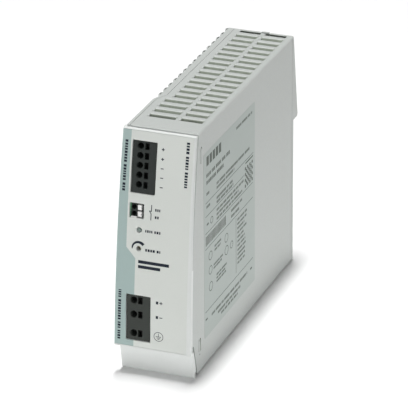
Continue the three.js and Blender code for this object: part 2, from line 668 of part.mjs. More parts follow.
function makeTransformerWinding() {
  const middle = (CORE.y[0] + CORE.y[1]) / 2;
  const x = [CORE.x[0] + CORE.back + GAP, CORE.x[1] - CORE.back - GAP];
  const y = [CORE.y[0] + CORE.limb + GAP, CORE.y[1] - CORE.limb - GAP];
  const winding = box(x, y, [CORE.z[0] - 6, CORE.z[1] + 6]);
  const leg = box([LEFT, RIGHT], around(middle, CORE.leg + 2 * GAP), [CORE.z[0] - GAP, CORE.z[1] + GAP]);
  return cut(winding, leg);
}

const FUSE = { x: ON_BOARD + 6, y: [-52, -33], z: 14, radius: 2.4, clipY: [-50, -37] };

function makeFuse() {
  const tube = rod('y', FUSE.y, FUSE.radius, [FUSE.x, FUSE.z]);
  const clips = FUSE.clipY.map((y) => box([ON_BOARD, FUSE.x], [y, y + 2], around(FUSE.z, 4)));
  return join(tube, ...clips);
}

// Places are the [y, z] of an axis that stands out from the board.
const FILTER_CHOKE = { radius: 11, bore: 4.5, height: 18, place: [-22, 38] };
const BOOST_CHOKE = { radius: 13, bore: 5, height: 20, place: [6, 27] };
const BULK_CAPACITOR = { radius: 10.5, height: 30, places: [[34, 24], [56, 24]] };
const OUTPUT_CAPACITOR = { radius: 6.2, height: 25, places: [[-42.4, 112], [-42.4, 98], [-42.4, 84]] };
const SURGE_DISC = { radius: 7, y: [-48, -43], place: [ON_BOARD + 7.5, 32] };
const PILLAR = { radius: 2.5, places: [[-20, 117], [65, 117], [65, 60], [-56, 10.5]] };
const INSULATION = { x: [-15.1, -14.9], y: [-58, BOARD.back], z: [8, 122] };

// Box-shaped parts: name, range of height over the board, Y range, Z range, finish.
const BLOCKS = [
  ['filter_capacitor', [0, 16], [-28, -10], [8, 20], FINISH.tape],
  ['input_heat_sink', [0, 28], [-6, 60], [95, 98], FINISH.aluminium],
  ['output_heat_sink', [0, 28], [-34, -31], [54, 116], FINISH.aluminium],
  ['switching_transistor', [4, 20], [36, 52], [90, 94.7], FINISH.blackPlastic],
  ['output_rectifier', [4, 20], [-30.7, -26], [88, 104], FINISH.blackPlastic],
  ['signal_relay', [0, 15], [-52, -40], [50, 70], FINISH.blackPlastic],
];

addPart('circuit_board', makeBoard(), FINISH.board);
addPart('insulation_sheet', box(INSULATION.x, INSULATION.y, INSULATION.z), FINISH.sheetPlastic);
addPart('transformer_core', makeTransformerCore(), FINISH.ferrite);
addPart('transformer_winding', makeTransformerWinding(), FINISH.tape);
addPart('filter_choke', coil(FILTER_CHOKE), FINISH.copper);
addPart('boost_choke', coil(BOOST_CHOKE), FINISH.copper);
BULK_CAPACITOR.places.forEach((place, i) => {
  addPart(`bulk_capacitor_${i + 1}`, capacitor(BULK_CAPACITOR, place), FINISH.capSleeve);
});
OUTPUT_CAPACITOR.places.forEach((place, i) => {
  addPart(`output_capacitor_${i + 1}`, capacitor(OUTPUT_CAPACITOR, place), FINISH.capSleeve);
});
addPart('fuse', makeFuse(), FINISH.sheetPlastic);
addPart('surge_disc', rod('y', SURGE_DISC.y, SURGE_DISC.radius, SURGE_DISC.place), FINISH.ceramic);
for (const [name, height, y, z, finish] of BLOCKS) {
  addPart(name, box([ON_BOARD + height[0], ON_BOARD + height[1]], y, z), finish);
}
PILLAR.places.forEach((place, i) => {
  const height = SHELL_RIGHT - SHEET - GAP - ON_BOARD;
  addPart(`board_pillar_${i + 1}`, standing(PILLAR.radius, place, height, 12), FINISH.zincSteel);
});

export default powerSupply;
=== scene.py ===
"""Looks for a DIN rail power supply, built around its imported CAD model.

Shapes are made in millimetres, X right, Y back and Z up, and turned into metres when a piece is finished.
"""

import math
import random

import bmesh
import bpy
from mathutils import Matrix, Vector


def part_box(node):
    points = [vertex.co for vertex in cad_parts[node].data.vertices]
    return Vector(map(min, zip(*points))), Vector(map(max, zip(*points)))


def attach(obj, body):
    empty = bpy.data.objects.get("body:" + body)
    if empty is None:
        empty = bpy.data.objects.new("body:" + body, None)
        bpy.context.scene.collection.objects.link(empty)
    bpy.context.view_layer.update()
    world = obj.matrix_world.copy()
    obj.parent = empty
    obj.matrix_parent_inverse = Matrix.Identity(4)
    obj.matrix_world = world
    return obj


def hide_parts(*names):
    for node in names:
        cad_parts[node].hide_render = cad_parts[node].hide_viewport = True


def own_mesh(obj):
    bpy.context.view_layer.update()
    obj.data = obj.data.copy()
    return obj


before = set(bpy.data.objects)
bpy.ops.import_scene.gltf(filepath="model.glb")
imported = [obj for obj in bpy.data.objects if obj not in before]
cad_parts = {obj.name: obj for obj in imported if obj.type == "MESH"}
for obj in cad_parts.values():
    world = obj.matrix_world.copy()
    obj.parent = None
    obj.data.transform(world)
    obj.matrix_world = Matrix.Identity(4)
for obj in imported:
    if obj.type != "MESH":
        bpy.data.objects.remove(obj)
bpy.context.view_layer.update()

MM = 0.001
BODY = "housing"

# ---- Dimensions in millimetres ----

CLEAR = 10.0  # how far a large cutter reaches past what it cuts
THROUGH = 3.0  # the same for a cutter of one sheet
WIDE = 30.0  # half width that takes in the whole object
OUTSIDE = 25.0  # X out of the right side
ABOVE = 140.0
BEHIND = 90.0
HOLE_REACH = (-3, 8)  # depths between which the front's holes are cut

SHEET = 0.8  # thickness of the steel
TOP = 129.4  # flat of the top sheet, with the louvres above it
SHELL_RIGHT = 20.2
SHELL_FRONT = -65.7
FOOT_FRONT = -69.6
SHELL_BACK = 73.4
FRONT = -80.0
FOLD_RADIUS = 1.05
EDGE_ROUND = 0.12  # rounding of punched and moulded edges

PLATE_RADIUS = 657.0  # the front plate is an arc seen from the side
PLATE_ARC_Z = -5.7
PLATE_NOSE = -80.32
PLATE_Z = (14.7, 128.4)
PLATE_SKIN = 2.4
PLATE_LOW = (-20.6, 20.6)
PLATE_HIGH = (-19.0, 19.6)
FILM_Z = (15.5, 127.4)
FILM_RIGHT = 18.2
FILM_LEAN = 0.15
FILM_GAP = 0.08
FILM_RECESS = 0.45
FILM_FACE = FILM_RECESS - 0.4
BAND_EDGE = [(-14.45, 135), (-14.7, 68.2), (-9.75, 62.8), (-10.4, 10)]  # runs past both ends of the film
BEND_STEP = 6.0  # height of the flat strips that make up the arc

OUTPUT = {"x": (-13.6, -0.7), "z": (96.2, 122.5), "poles": [119.9 - 4.84 * i for i in range(5)]}
SIGNAL = {"x": (-13.6, -6.1), "z": (83.5, 91.1), "poles": [89.0, 85.6]}
INPUT = {"x": (-14.3, -1.3), "z": (18.9, 43.4), "poles": [40.6, 32.98, 22.82]}
OUTPUT_HOLE = {"x": -9.4, "radius": 1.7, "slot_x": -5.9, "slot": (2.2, 3.4)}
INPUT_HOLE = {"x": -10.2, "radius": 1.85, "slot_x": -6.75, "slot": (2.4, 3.7)}
LAMP = {"x": -8.1, "z": 77.7, "radius": 1.15}
TRIMMER = {"x": -8.2, "z": 68.1, "radius": 1.1}

LOUVRE_ROWS = 19
LOUVRE_PITCH = 6.778
LOUVRE_LAST_Y = SHELL_BACK - 3.1
LOUVRE_SLOT = 2.3
LOUVRE_RIGHT = (5.3, 17.0)
LOUVRE_LEFT = (-8.7, 2.8)
LOUVRE_LEFT_LONG = (-11.4, 2.8)
LONG_ROWS = 4
BOTTOM_SLOT = 2.4
LIP_RISE = 0.6
LIP_OVERLAP = 0.35  # how far a lip reaches past the ends of its slot
LIP_END = 0.55
WALL_FOOT = (-0.85, -1.1)  # y and drop of a lip's foot
FRONT_ROW_FOOT = (-0.4, -1.1)
LIP_CROWN = [  # y behind the slot, drop below the sheet and share of the lip's rise
    (0, -0.45, 1), (0.06, -0.34, 1), (0.3, -0.17, 1), (0.55, -0.02, 1), (0.85, 0, 0.97),
    (1.5, 0, 0.7), (2.1, 0, 0.36), (2.8, -0.02, 0), (2.8, -0.4, 0),
]
BEAD_HALF = 0.42
BEAD_RISE = LIP_RISE + 0.08
DIMPLE_DEPTH = 0.15
BACK_NOTCH = (2.5, 7.1)
CHEEK_PLACE = (18.9, 71.0)  # x and y from which the cheek takes the place of the side sheet

TOP_CHAMFER = (0.5, 0.45)
SIDE_SETBACK = 1.1  # side sheets' front edge behind the plate's surface
SIDE_NOTCH_TOP = 20.2
SIDE_NOTCH = [(-74.9, 17.9), (-74.4, 16.6), (FOOT_FRONT - 0.7, 1.0)]

UPPER_LANCE = {"y": SHELL_FRONT + 2.9, "z": (112.5, 120.4)}
LOWER_LANCE = {"y": SHELL_FRONT - 1.1, "z": (11.6, 18.4)}
RIDGE_HALF = 1.05
RIDGE_END = 0.8

COVER_FACE = -17.4
COVER_FIELD = -16.1
COVER_STEP = (-32.0, -27.3)
COVER_TOP = TOP - 0.06
SEAM_FRONT = -15.75
SEAM_BACK = -12.75
SEAM_GAP = 0.08
SEAM_STEP = (COVER_STEP[0] + 1.1, COVER_STEP[1] + 3.4)
RIBS = 15
RIB_SHIFT = 1.0  # from a louvre's middle back to its rib's middle
RIB_HALF = 2.2
RIB_RISE = 1.3
RIB_FOOT = 1.2
RIB_CAP = 1.3
RIB_WALL = 0.8
RIB_SHALLOW = 0.62  # how much less a rib's hollow reaches out than the rib
RIB_OPEN = 0.8  # depth of the hollows

CHIN_X = (-18.65, 20.3)
CHIN_TOP = 15.3
CHIN_FRONT = [(-77.2, CHIN_TOP), (-75.1, 1.1), (-74.4, 0.0)]
CHEEK_WIDTH = 1.2
COLLAR_WALL = 1.2
BLOCK_GAP = 0.2
SIGNAL_HOLE_X = -11.4
SIGNAL_BUTTON_X = -8.3

HEAD_RISE = 1.15
CROSS_HALF = 0.27  # half width of a screw's cross recess
CROSS_DEPTH = 0.7
SCREWS = {  # axis, seat, which way the head stands, head radius and centres
    "cover": ("x", COVER_FACE - 0.05, -1, 2.6, [(-61, 118), (-69, 26), (-40, 8)]),
    "hook": ("y", SHELL_BACK + 1.85, 1, 2.3, [(-6, 95.4), (10, 95.4)]),
    "guide": ("y", SHELL_BACK + 1.25, 1, 2.3, [(-13.4, 21.5), (17.4, 21.5)]),
}
COIL = {"x": 2.0, "y": 75.1, "radius": 1.15, "wire": 0.25, "turns": 7, "steps": 24}
ON_BOARD = -12.7  # left end of the parts that stand on the board
FIN_PITCH = 3.6

LABEL_FACE = SHELL_RIGHT + 0.07
LABEL_Y = (-59.8, 13.5)
LABEL_Z = (15.0, 115.8)
LABEL_ROWS = [  # start and end along Y, height of the row's middle and of its blocks
    (-13.7, 9.9, 111.6, 1.4), (-55.9, -22.5, 103.0, 1.9), (-55.9, -31.3, 99.3, 1.9),
    (-41.8, 5.7, 93.3, 1.4), (-41.8, -16.8, 90.9, 1.4), (-56.0, -52.2, 93.2, 1.4),
    (-41.9, -18.3, 85.4, 1.4), (-41.9, -18.3, 83.1, 1.4), (-56.1, -50.9, 86.2, 1.4),
    (-42.0, -3.4, 78.8, 1.3), (-42.0, -10.9, 76.4, 1.3), (-42.0, -5.0, 74.0, 1.3),
    (-21.4, -5.0, 69.4, 1.4), (-21.4, -9.5, 66.2, 1.4), (-45.2, -35.7, 60.3, 1.2),
    (-45.2, -36.7, 58.2, 1.2), (-46.7, -33.7, 50.6, 1.1), (-46.7, -34.7, 48.8, 1.1),
    (-42.7, -28.3, 43.4, 1.1), (-42.7, -30.3, 41.5, 1.1), (-42.7, -29.3, 39.6, 1.1),
    (-49.8, 2.0, 24.4, 1.4), (-40.9, -8.1, 21.4, 1.4), (-36.2, -12.3, 19.0, 1.3),
]
LABEL_LINES = [
    (-57.5, 11.0, 88.6), (-57.6, -2.6, 81.3), (-57.8, 10.2, 72.1), (-58.2, 10.2, 63.7), (-58.6, 10.4, 29.2),
]
LABEL_RINGS = [  # y, z and radius
    (-51.0, 57.8, 2.3), (-28.4, 57.6, 2.3), (-28.2, 50.6, 2.4), (-21.0, 50.6, 1.9), (-51.0, 49.8, 2.2),
    (-50.6, 40.6, 2.4), (-49.0, 76.6, 1.7),
]


def plate_y(z):
    """Y of the front plate's surface at a height."""
    rise = z - PLATE_ARC_Z
    return PLATE_NOSE + PLATE_RADIUS - math.sqrt(PLATE_RADIUS**2 - rise**2)


def louvre_y(row):
    return LOUVRE_LAST_Y - row * LOUVRE_PITCH


def around(centre, half):
    return (centre - half, centre + half)


def grow(span, by):
    return (span[0] - by, span[1] + by)


# ---- Mesh making ----


def spot(axis, along, a, b):
    """A point from its place along an axis and its two other coordinates."""
    return {"x": (along, a, b), "y": (a, along, b), "z": (a, b, along)}[axis]


def wrap(bm, low, high):
    """Faces between two rings of vertices."""
    for i in range(len(low)):
        j = (i + 1) % len(low)
        bm.faces.new((low[i], low[j], high[j], high[i]))


def face_out(bm):
    bmesh.ops.recalc_face_normals(bm, faces=bm.faces[:])
    return bm


def prism(axis, span, points):
    """A closed outline pushed along an axis: (y, z) points along x, (x, z) along y, (x, y) along z."""
    bm = bmesh.new()
    low, high = ([bm.verts.new(spot(axis, along, a, b)) for a, b in points] for along in span)
    bm.faces.new(low)
    bm.faces.new(high)
    wrap(bm, low, high)
    return face_out(bm)


def oblong(a, b):
    """Outline of a rectangle from its two ranges."""
    return [(a[0], b[0]), (a[1], b[0]), (a[1], b[1]), (a[0], b[1])]


def block(x, y, z):
    return prism("z", z, oblong(x, y))


def arc(centre, radius, start, end, steps):
    """Points on a circle between two angles in degrees."""
    points = []
    for i in range(steps + 1):
        angle = math.radians(start + (end - start) * i / steps)
        points.append((centre[0] + radius * math.cos(angle), centre[1] + radius * math.sin(angle)))
    return points


def ring(centre, radius, sides=32):
    return arc(centre, radius, 0, 360, sides)[:-1]


def rounded(a, b, radius):
    """Outline of a rounded rectangle from its two ranges."""
    (left, right), (low, high) = grow(a, -radius), grow(b, -radius)
    corners = [(right, high), (left, high), (left, low), (right, low)]
    return [p for i, corner in enumerate(corners) for p in arc(corner, radius, 90 * i, 90 * i + 90, 4)]


def lathe(axis, centre, profile, sides=40):
    """Closed solid turned about an axis: profile is (distance along the axis, radius) pairs."""
    bm = bmesh.new()
    is_loop = profile[0] == profile[-1]
    turn = [2 * math.pi * i / sides for i in range(sides)]
    rows = []
    for along, radius in profile[1:] if is_loop else profile:
        row = [(centre[0] + radius * math.cos(t), centre[1] + radius * math.sin(t)) for t in turn]
        rows.append([bm.verts.new(spot(axis, along, a, b)) for a, b in (row if radius else row[:1])])
    if is_loop:
        rows.insert(0, rows[-1])
    for low, high in zip(rows, rows[1:]):
        for i in range(sides):
            j = (i + 1) % sides
            corners = [low[i % len(low)], high[i % len(high)], high[j % len(high)], low[j % len(low)]]
            bm.faces.new(tuple(dict.fromkeys(corners)))
    for row in (rows[0], rows[-1]):
        if len(row) > 1 and not is_loop:
            bm.faces.new(row)
    return face_out(bm)


def shell(outer, inner):
    """Closed solid between two grids of points of the same size."""
    bm = bmesh.new()
    grids = [[[bm.verts.new(p) for p in row] for row in grid] for grid in (outer, inner)]
    rows, columns = len(outer), len(outer[0])
    for grid in grids:
        for i in range(rows - 1):
            for j in range(columns - 1):
                bm.faces.new((grid[i][j], grid[i + 1][j], grid[i + 1][j + 1], grid[i][j + 1]))
    edge = [(i, 0) for i in range(rows)] + [(rows - 1, j) for j in range(1, columns)]
    edge += [(i, columns - 1) for i in range(rows - 2, -1, -1)] + [(0, j) for j in range(columns - 2, 0, -1)]
    wrap(bm, *([grid[i][j] for i, j in edge] for grid in grids))
    return face_out(bm)


def loft(sections):
    """Closed solid through a row of outlines with the same number of points."""
    bm = bmesh.new()
    rows = [[bm.verts.new(p) for p in section] for section in sections]
    for low, high in zip(rows, rows[1:]):
        wrap(bm, low, high)
    bm.faces.new(rows[0])
    bm.faces.new(rows[-1])
    return face_out(bm)


def tube(points, radius, sides=8):
    """Round wire along a line of points."""
    line = [Vector(p) for p in points]
    side = (line[1] - line[0]).orthogonal()
    sections = []
    for i, point in enumerate(line):
        along = (line[min(i + 1, len(line) - 1)] - line[max(i - 1, 0)]).normalized()
        side = (side - along * side.dot(along)).normalized()
        up = along.cross(side)
        turn = [2 * math.pi * k / sides for k in range(sides)]
        sections.append([point + radius * (math.cos(t) * side + math.sin(t) * up) for t in turn])
    return loft(sections)


def gather(parts):
    """Several meshes as one."""
    whole = bmesh.new()
    for part in parts:
        mesh = bpy.data.meshes.new("part")
        part.to_mesh(mesh)
        part.free()
        whole.from_mesh(mesh)
        bpy.data.meshes.remove(mesh)
    return whole


def new_object(name, bm):
    """An object in the scene with a working mesh as its mesh."""
    mesh = bpy.data.meshes.new(name)
    bm.to_mesh(mesh)
    bm.free()
    obj = bpy.data.objects.new(name, mesh)
    bpy.context.scene.collection.objects.link(obj)
    return obj


def combine(base, others, operation):
    """The base mesh cut by, kept within or joined to other closed meshes."""
    base_object = new_object("work", base)
    other_object = new_object("work", gather(others))
    modifier = base_object.modifiers.new("combine", "BOOLEAN")
    modifier.operation = operation
    modifier.solver = "EXACT"
    modifier.use_self = True
    modifier.object = other_object
    graph = bpy.context.evaluated_depsgraph_get()
    mesh = bpy.data.meshes.new_from_object(base_object.evaluated_get(graph))
    result = bmesh.new()
    result.from_mesh(mesh)
    bpy.data.meshes.remove(mesh)
    for obj in (base_object, other_object):
        data = obj.data
        bpy.data.objects.remove(obj)
        bpy.data.meshes.remove(data)
    return result


def cut(base, others):
    return combine(base, others, "DIFFERENCE")


def clean(bm, angle=0.6):
    """Joins doubled points and flat neighbouring faces."""
    bmesh.ops.remove_doubles(bm, verts=bm.verts[:], dist=0.002)
    bmesh.ops.dissolve_limit(bm, angle_limit=math.radians(angle), verts=bm.verts[:], edges=bm.edges[:])
    return bm


def soften(bm, width, segments=2, angle=34):
    """Rounds every edge that is sharper than an angle."""
    limit = math.radians(angle)
    edges = [e for e in bm.edges if e.is_manifold and e.calc_face_angle(0) > limit]
    bmesh.ops.bevel(
        bm, geom=edges, offset=width, segments=segments, profile=0.5, affect="EDGES", clamp_overlap=True
    )
    return bm


def bend_to_plate(bm):
    """Moves a mesh made flat, with Y as its depth behind the plate's surface, on to the curved plate."""
    heights = [v.co.z for v in bm.verts]
    z = math.ceil(min(heights) / BEND_STEP) * BEND_STEP
    while z < max(heights):
        geometry = bm.verts[:] + bm.edges[:] + bm.faces[:]
        bmesh.ops.bisect_plane(bm, geom=geometry, plane_co=(0, 0, z), plane_no=(0, 0, 1), dist=1e-4)
        z += BEND_STEP
    for v in bm.verts:
        v.co.y += plate_y(v.co.z)
    return bm


def set_on_plate(bm, z):
    """Moves a mesh, with Y as its depth behind the plate's surface, to the plate without bending it."""
    bmesh.ops.translate(bm, verts=bm.verts[:], vec=(0, plate_y(z), 0))
    return bm


def piece(name, bm, materials, stands_for=None, body=BODY, smooth=38, weighted=True, pick=None):
    """Turns a mesh in millimetres into a finished piece that rides on a CAD body."""
    limit = math.radians(smooth)
    for face in bm.faces:
        face.smooth = True
        if pick:
            face.material_index = pick(face)
    for edge in bm.edges:
        if edge.is_manifold and edge.calc_face_angle(0) > limit:
            edge.smooth = False
    for v in bm.verts:
        v.co *= MM
    obj = new_object(name, bm)
    for material in materials if isinstance(materials, list) else [materials]:
        obj.data.materials.append(material)
    if weighted:
        modifier = obj.modifiers.new("normals", "WEIGHTED_NORMAL")
        modifier.keep_sharp = True
        modifier.weight = 100
    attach(obj, body)
    if stands_for:
        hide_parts(stands_for)
    return obj


def node_mesh(node):
    """A CAD node's mesh in millimetres."""
    bm = bmesh.new()
    bm.from_mesh(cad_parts[node].data)
    for v in bm.verts:
        v.co /= MM
    return clean(bm)


def rounded_node(name, node, width, material, segments=2, body=BODY):
    """A piece that is its CAD node with rounded edges."""
    piece(name, soften(node_mesh(node), width, segments), material, node, body)


# ---- Materials ----


class Surface:
    """A procedural material: blotchy tone, fine grain, uneven gloss and a bump."""

    def __init__(
        self, name, tone, roughness, metallic=0.0, ior=1.46, coat=0.0, stretch=(1, 1, 1), blotch=0.05,
        blotch_scale=60, grain=0.04, grain_scale=1800, gloss_spread=0.08, bump=0.1, bump_scale=2500,
        bump_depth=2e-5,
    ):
        self.material = bpy.data.materials.new(name)
        self.material.use_nodes = True
        self.tree = self.material.node_tree
        self.shader = next(n for n in self.tree.nodes if n.type == "BSDF_PRINCIPLED")
        fixed = {"Metallic": metallic, "IOR": ior, "Coat Weight": coat, "Coat Roughness": 0.2}
        for key, value in fixed.items():
            self.shader.inputs[key].default_value = value
        coordinates = self.add("ShaderNodeTexCoord")
        mapping = self.add("ShaderNodeMapping", Scale=stretch, Vector=coordinates.outputs["Object"])
        self.place = mapping.outputs["Vector"]
        patches = self.noise(blotch_scale, 3)
        specks = self.noise(grain_scale, 2)
        dark = tuple(c * (1 - blotch) for c in tone)
        light = tuple(min(1, c * (1 + blotch)) for c in tone)
        base = self.mix(self.span(patches, 0, 1), dark, light)
        self.colour = self.mix(self.span(specks, 0, grain), base, tuple(c * 0.45 for c in tone))
        gloss = self.span(patches, roughness - gloss_spread, roughness + gloss_spread)
        height = self.noise(bump_scale, 2)
        relief = self.add("ShaderNodeBump", Strength=bump, Distance=bump_depth, Height=height)
        self.connect("Base Color", self.colour)
        self.connect("Roughness", gloss)
        self.connect("Normal", relief.outputs["Normal"])

    def add(self, kind, **inputs):
        """A node with its inputs, where an underscore in a name is a space, set to values or linked."""
        node = self.tree.nodes.new(kind)
        for name, value in inputs.items():
            self.feed(node.inputs[name.replace("_", " ")], value)
        return node

    def feed(self, socket, value):
        if isinstance(value, bpy.types.NodeSocket):
            self.tree.links.new(value, socket)
        else:
            socket.default_value = value

    def connect(self, key, value):
        self.feed(self.shader.inputs[key], value)

    def noise(self, scale, detail):
        node = self.add("ShaderNodeTexNoise", Scale=scale, Detail=detail, Roughness=0.6, Vector=self.place)
        return node.outputs["Fac"]

    def span(self, value, low, high):
        """A value spread from its usual range to a new one."""
        limits = {"From_Min": 0.3, "From_Max": 0.7, "To_Min": low, "To_Max": high}
        return self.add("ShaderNodeMapRange", Value=value, **limits).outputs["Result"]

    def mix(self, factor, first, second):
        node = self.add("ShaderNodeMix", Factor=factor)
        node.data_type = "RGBA"
        for socket, value in zip(node.inputs[6:8], (first, second)):
            self.feed(socket, (*value, 1) if isinstance(value, tuple) else value)
        return node.outputs[2]


def linear(red, green, blue):
    """Linear colour from 0 to 255 display values."""
    shares = [value / 255 for value in (red, green, blue)]
    return tuple(share / 12.92 if share <= 0.04045 else ((share + 0.055) / 1.055) ** 2.4 for share in shares)


def surface(name, colour, roughness, metallic=0.0, **settings):
    return Surface(name, linear(*colour), roughness, metallic, **settings).material


def make_board_material():
    """Green solder mask with paler tracks under it and tinned pads."""
    board = Surface("board_green", linear(28, 92, 58), 0.35, coat=0.4, blotch=0.1)
    tracks = board.add("ShaderNodeTexVoronoi", Scale=260, Vector=board.place)
    tracks.feature = "DISTANCE_TO_EDGE"
    pads = board.add("ShaderNodeTexVoronoi", Scale=330, Randomness=0.35, Vector=board.place)
    colour = board.colour
    for cells, width, paint in ((tracks, 0.06, (60, 128, 84)), (pads, 0.16, (186, 190, 188))):
        inside = board.add("ShaderNodeMath")
        inside.operation = "LESS_THAN"
        inside.inputs[1].default_value = width
        board.feed(inside.inputs[0], cells.outputs["Distance"])
        colour = board.mix(inside.outputs[0], colour, linear(*paint))
    board.connect("Base Color", colour)
    return board.material


FILM_LOOK = {"grain": 0.035, "bump": 0.3, "bump_scale": 6500, "bump_depth": 1e-5}
BLOCK_LOOK = {"ior": 1.33, "grain": 0.1, "bump": 0.4, "bump_scale": 4500, "bump_depth": 1.5e-5}

STEEL = surface(
    "coated_steel", (186, 190, 187), 0.45, 0.04, blotch=0.03, blotch_scale=900, grain=0.12, grain_scale=2600,
    gloss_spread=0.05, bump=0.25, bump_scale=3800, bump_depth=1.5e-5, stretch=(1, 1, 0.5),
)
# Darker olive for front-facing cut edges: partly bare punched metal, partly painted shade that darkens the
# slot walls, lip walls and the side slit.
CUT_EDGE_SHADE = surface(
    "cut_edge_painted_shade", (158, 166, 152), 0.6, 0.1,
    blotch=0.12, blotch_scale=700, grain=0.3, grain_scale=1500, bump=0.4,
)
ZINC = surface(
    "zinc_steel", (186, 190, 192), 0.33, 0.92, blotch=0.1, blotch_scale=420, grain=0.12, grain_scale=2200,
    gloss_spread=0.1, bump=0.2, stretch=(1, 1, 0.35),
)
FRAME_PLASTIC = surface(
    "frame_plastic", (219, 222, 220), 0.4,
    blotch=0.012, grain=0.03, bump=0.35, bump_scale=5200, bump_depth=1.2e-5,
)
FILM = surface("front_film", (214, 218, 213), 0.52, blotch=0.01, **FILM_LOOK)
BAND = surface("front_band", (165, 185, 182), 0.52, blotch=0.012, **FILM_LOOK)
INK = surface("print_ink", (27, 37, 50), 0.6, ior=1.33, blotch=0.06, grain=0.08)
STICKER = surface(
    "rating_sticker", (174, 182, 178), 0.6, 0.08, blotch=0.012, grain=0.05, bump=0.15, bump_scale=5000,
    bump_depth=1e-5,
)
LABEL_INK = surface("label_ink", (84, 92, 84), 0.6, blotch=0.1, grain=0.12)
BLACK_PLASTIC = surface("black_plastic", (44, 49, 47), 0.6, **BLOCK_LOOK)
GREY_PLASTIC = surface("grey_plastic", (57, 61, 57), 0.6, **BLOCK_LOOK)
# Near-black release pieces: painted shade, darker than the blocks so that the square openings look dark.
RELEASE_PAINTED_SHADE = surface("release_plastic_painted_shade", (10, 10, 10), 0.5, blotch=0.08, grain=0.1, bump=0.3)
WHITE_PLASTIC = surface("white_plastic", (243, 243, 241), 0.38, blotch=0.012, grain=0.03, bump=0.2)
LENS = surface("lens_plastic", (112, 128, 122), 0.18, coat=0.6, blotch=0.06, bump=0.05)
ROTOR_PLASTIC = surface("rotor_plastic", (128, 120, 96), 0.45, grain=0.06, bump=0.2)
BOARD = make_board_material()
PAPER = surface("insulation_paper", (226, 222, 208), 0.6, blotch=0.04, grain=0.08, bump=0.3)
FERRITE = surface("ferrite", (52, 51, 49), 0.5, 0.1, blotch=0.12, grain=0.25, grain_scale=1300, bump=0.5)
TAPE = surface(
    "winding_tape", (214, 178, 62), 0.38, coat=0.2, blotch=0.06, grain=0.05, bump=0.3, stretch=(1, 1, 6)
)
COPPER = surface("enamelled_copper", (176, 100, 62), 0.28, 0.85, coat=0.5, blotch=0.12, grain=0.08)
TIN = surface("tinned_copper", (198, 196, 190), 0.3, 0.9, blotch=0.08, grain=0.1)
SLEEVE = surface("can_sleeve", (36, 44, 58), 0.32, coat=0.3, blotch=0.06)
ALUMINIUM = surface("aluminium", (200, 203, 205), 0.34, 0.92, blotch=0.06, grain=0.1, stretch=(1, 0.12, 1))
CERAMIC = surface("blue_ceramic", (52, 98, 160), 0.3, coat=0.3, blotch=0.08, grain=0.06)
GLAZE = surface("fuse_ceramic", (224, 220, 206), 0.3, coat=0.3, blotch=0.04, grain=0.05)


# ---- Steel housing ----


def side_keeper():
    """Everything behind the side sheets' front edge, which follows the plate's arc down to the foot."""
    edge = [(SHELL_FRONT + TOP_CHAMFER[0], TOP), (SHELL_FRONT, TOP - TOP_CHAMFER[1])]
    for z in [TOP - 1.5 - 5.4 * i for i in range(20)] + [SIDE_NOTCH_TOP]:
        edge.append((plate_y(z) + SIDE_SETBACK, z))
    edge += [*SIDE_NOTCH, (FOOT_FRONT, 0.0)]
    outline = [(BEHIND, ABOVE), (edge[0][0], ABOVE), *edge, (FOOT_FRONT, -CLEAR), (BEHIND, -CLEAR)]
    return prism("x", around(0, WIDE), outline)


def folded_sheet():
    """Top, right side and bottom in one sheet with rounded folds."""
    left, fold = SEAM_FRONT + SEAM_GAP, SHELL_RIGHT - FOLD_RADIUS
    skins = []
    for inset in (0, SHEET):
        radius = FOLD_RADIUS - inset
        upper = arc((fold, TOP - FOLD_RADIUS), radius, 90, 0, 6)
        lower = arc((fold, FOLD_RADIUS), radius, 0, -90, 6)
        skins.append([(left, TOP - inset), *upper, *lower, (left, inset)])
    return prism("y", (FRONT, SHELL_BACK), skins[0] + skins[1][::-1])


def seam_step():
    """The part right of the seam that the left cover's flange takes behind the step."""
    left, right, back = COVER_FACE - 0.6, SEAM_BACK + SEAM_GAP, SHELL_BACK + 1
    outline = [(left, back), (left, SEAM_STEP[0]), (SEAM_FRONT + SEAM_GAP, SEAM_STEP[0])]
    outline += [(right, SEAM_STEP[1]), (right, back)]
    return prism("z", (-5, ABOVE), outline)


def dome(centre, half, rise):
    """Points over a half ellipse, from its low side to its high side."""
    turn = [math.pi * i / 8 for i in range(9)]
    return [(centre[0] - half * math.cos(t), centre[1] + rise * math.sin(t)) for t in turn]


def pressed_ends(near, length):
    """Places along a pressed shape, each with its share of the way out of the shape's rounded end."""
    places = [*near, length / 2, *[length - u for u in near[::-1]]]
    return [(u, min(1.0, u / near[-1], (length - u) / near[-1])) for u in places]


def bulge(share):
    """Height of a quarter circle at a share of its length."""
    return math.sqrt(max(0.0, 1 - (1 - min(1.0, share)) ** 2))


def louvre_columns(row):
    is_long = LOUVRE_ROWS - 1 - row < LONG_ROWS
    return [LOUVRE_RIGHT, LOUVRE_LEFT_LONG if is_long else LOUVRE_LEFT]


def louvre_lip(x, y, foot):
    """Sheet pressed up behind a slot: a ramp down into it, rounded ends and a slope down to the back."""
    profile = [(*foot, 0), *LIP_CROWN, (0.4, foot[1], 0)]
    sections = []
    for u, share in pressed_ends([0, 0.04, 0.12, 0.25, 0.4, LIP_END], x[1] - x[0]):
        rise = LIP_RISE * bulge(share)
        back = 0.45 + 0.55 * share
        outline = [(y + v * (back if v > 0 else 1), TOP + drop + rise * high) for v, drop, high in profile]
        sections.append([(x[0] + u, *point) for point in outline])
    return loft(sections)


def louvre_bead(x, y):
    """The pressed lip's left end, drawn forward along the end of the slot."""
    low = TOP - SHEET / 2
    sections = []
    for share in [k / 8 for k in range(9)]:
        size = math.sqrt(math.sin(math.pi * min(0.94, 0.06 + share)))
        half = BEAD_HALF * size
        rise = BEAD_RISE * (0.25 + 0.75 * share) * size
        at = y[0] + (y[1] - y[0]) * share
        outline = [*dome((x, TOP), half, rise), (x + half, low), (x - half, low)]
        sections.append([(a, at, b) for a, b in outline])
    return loft(sections)


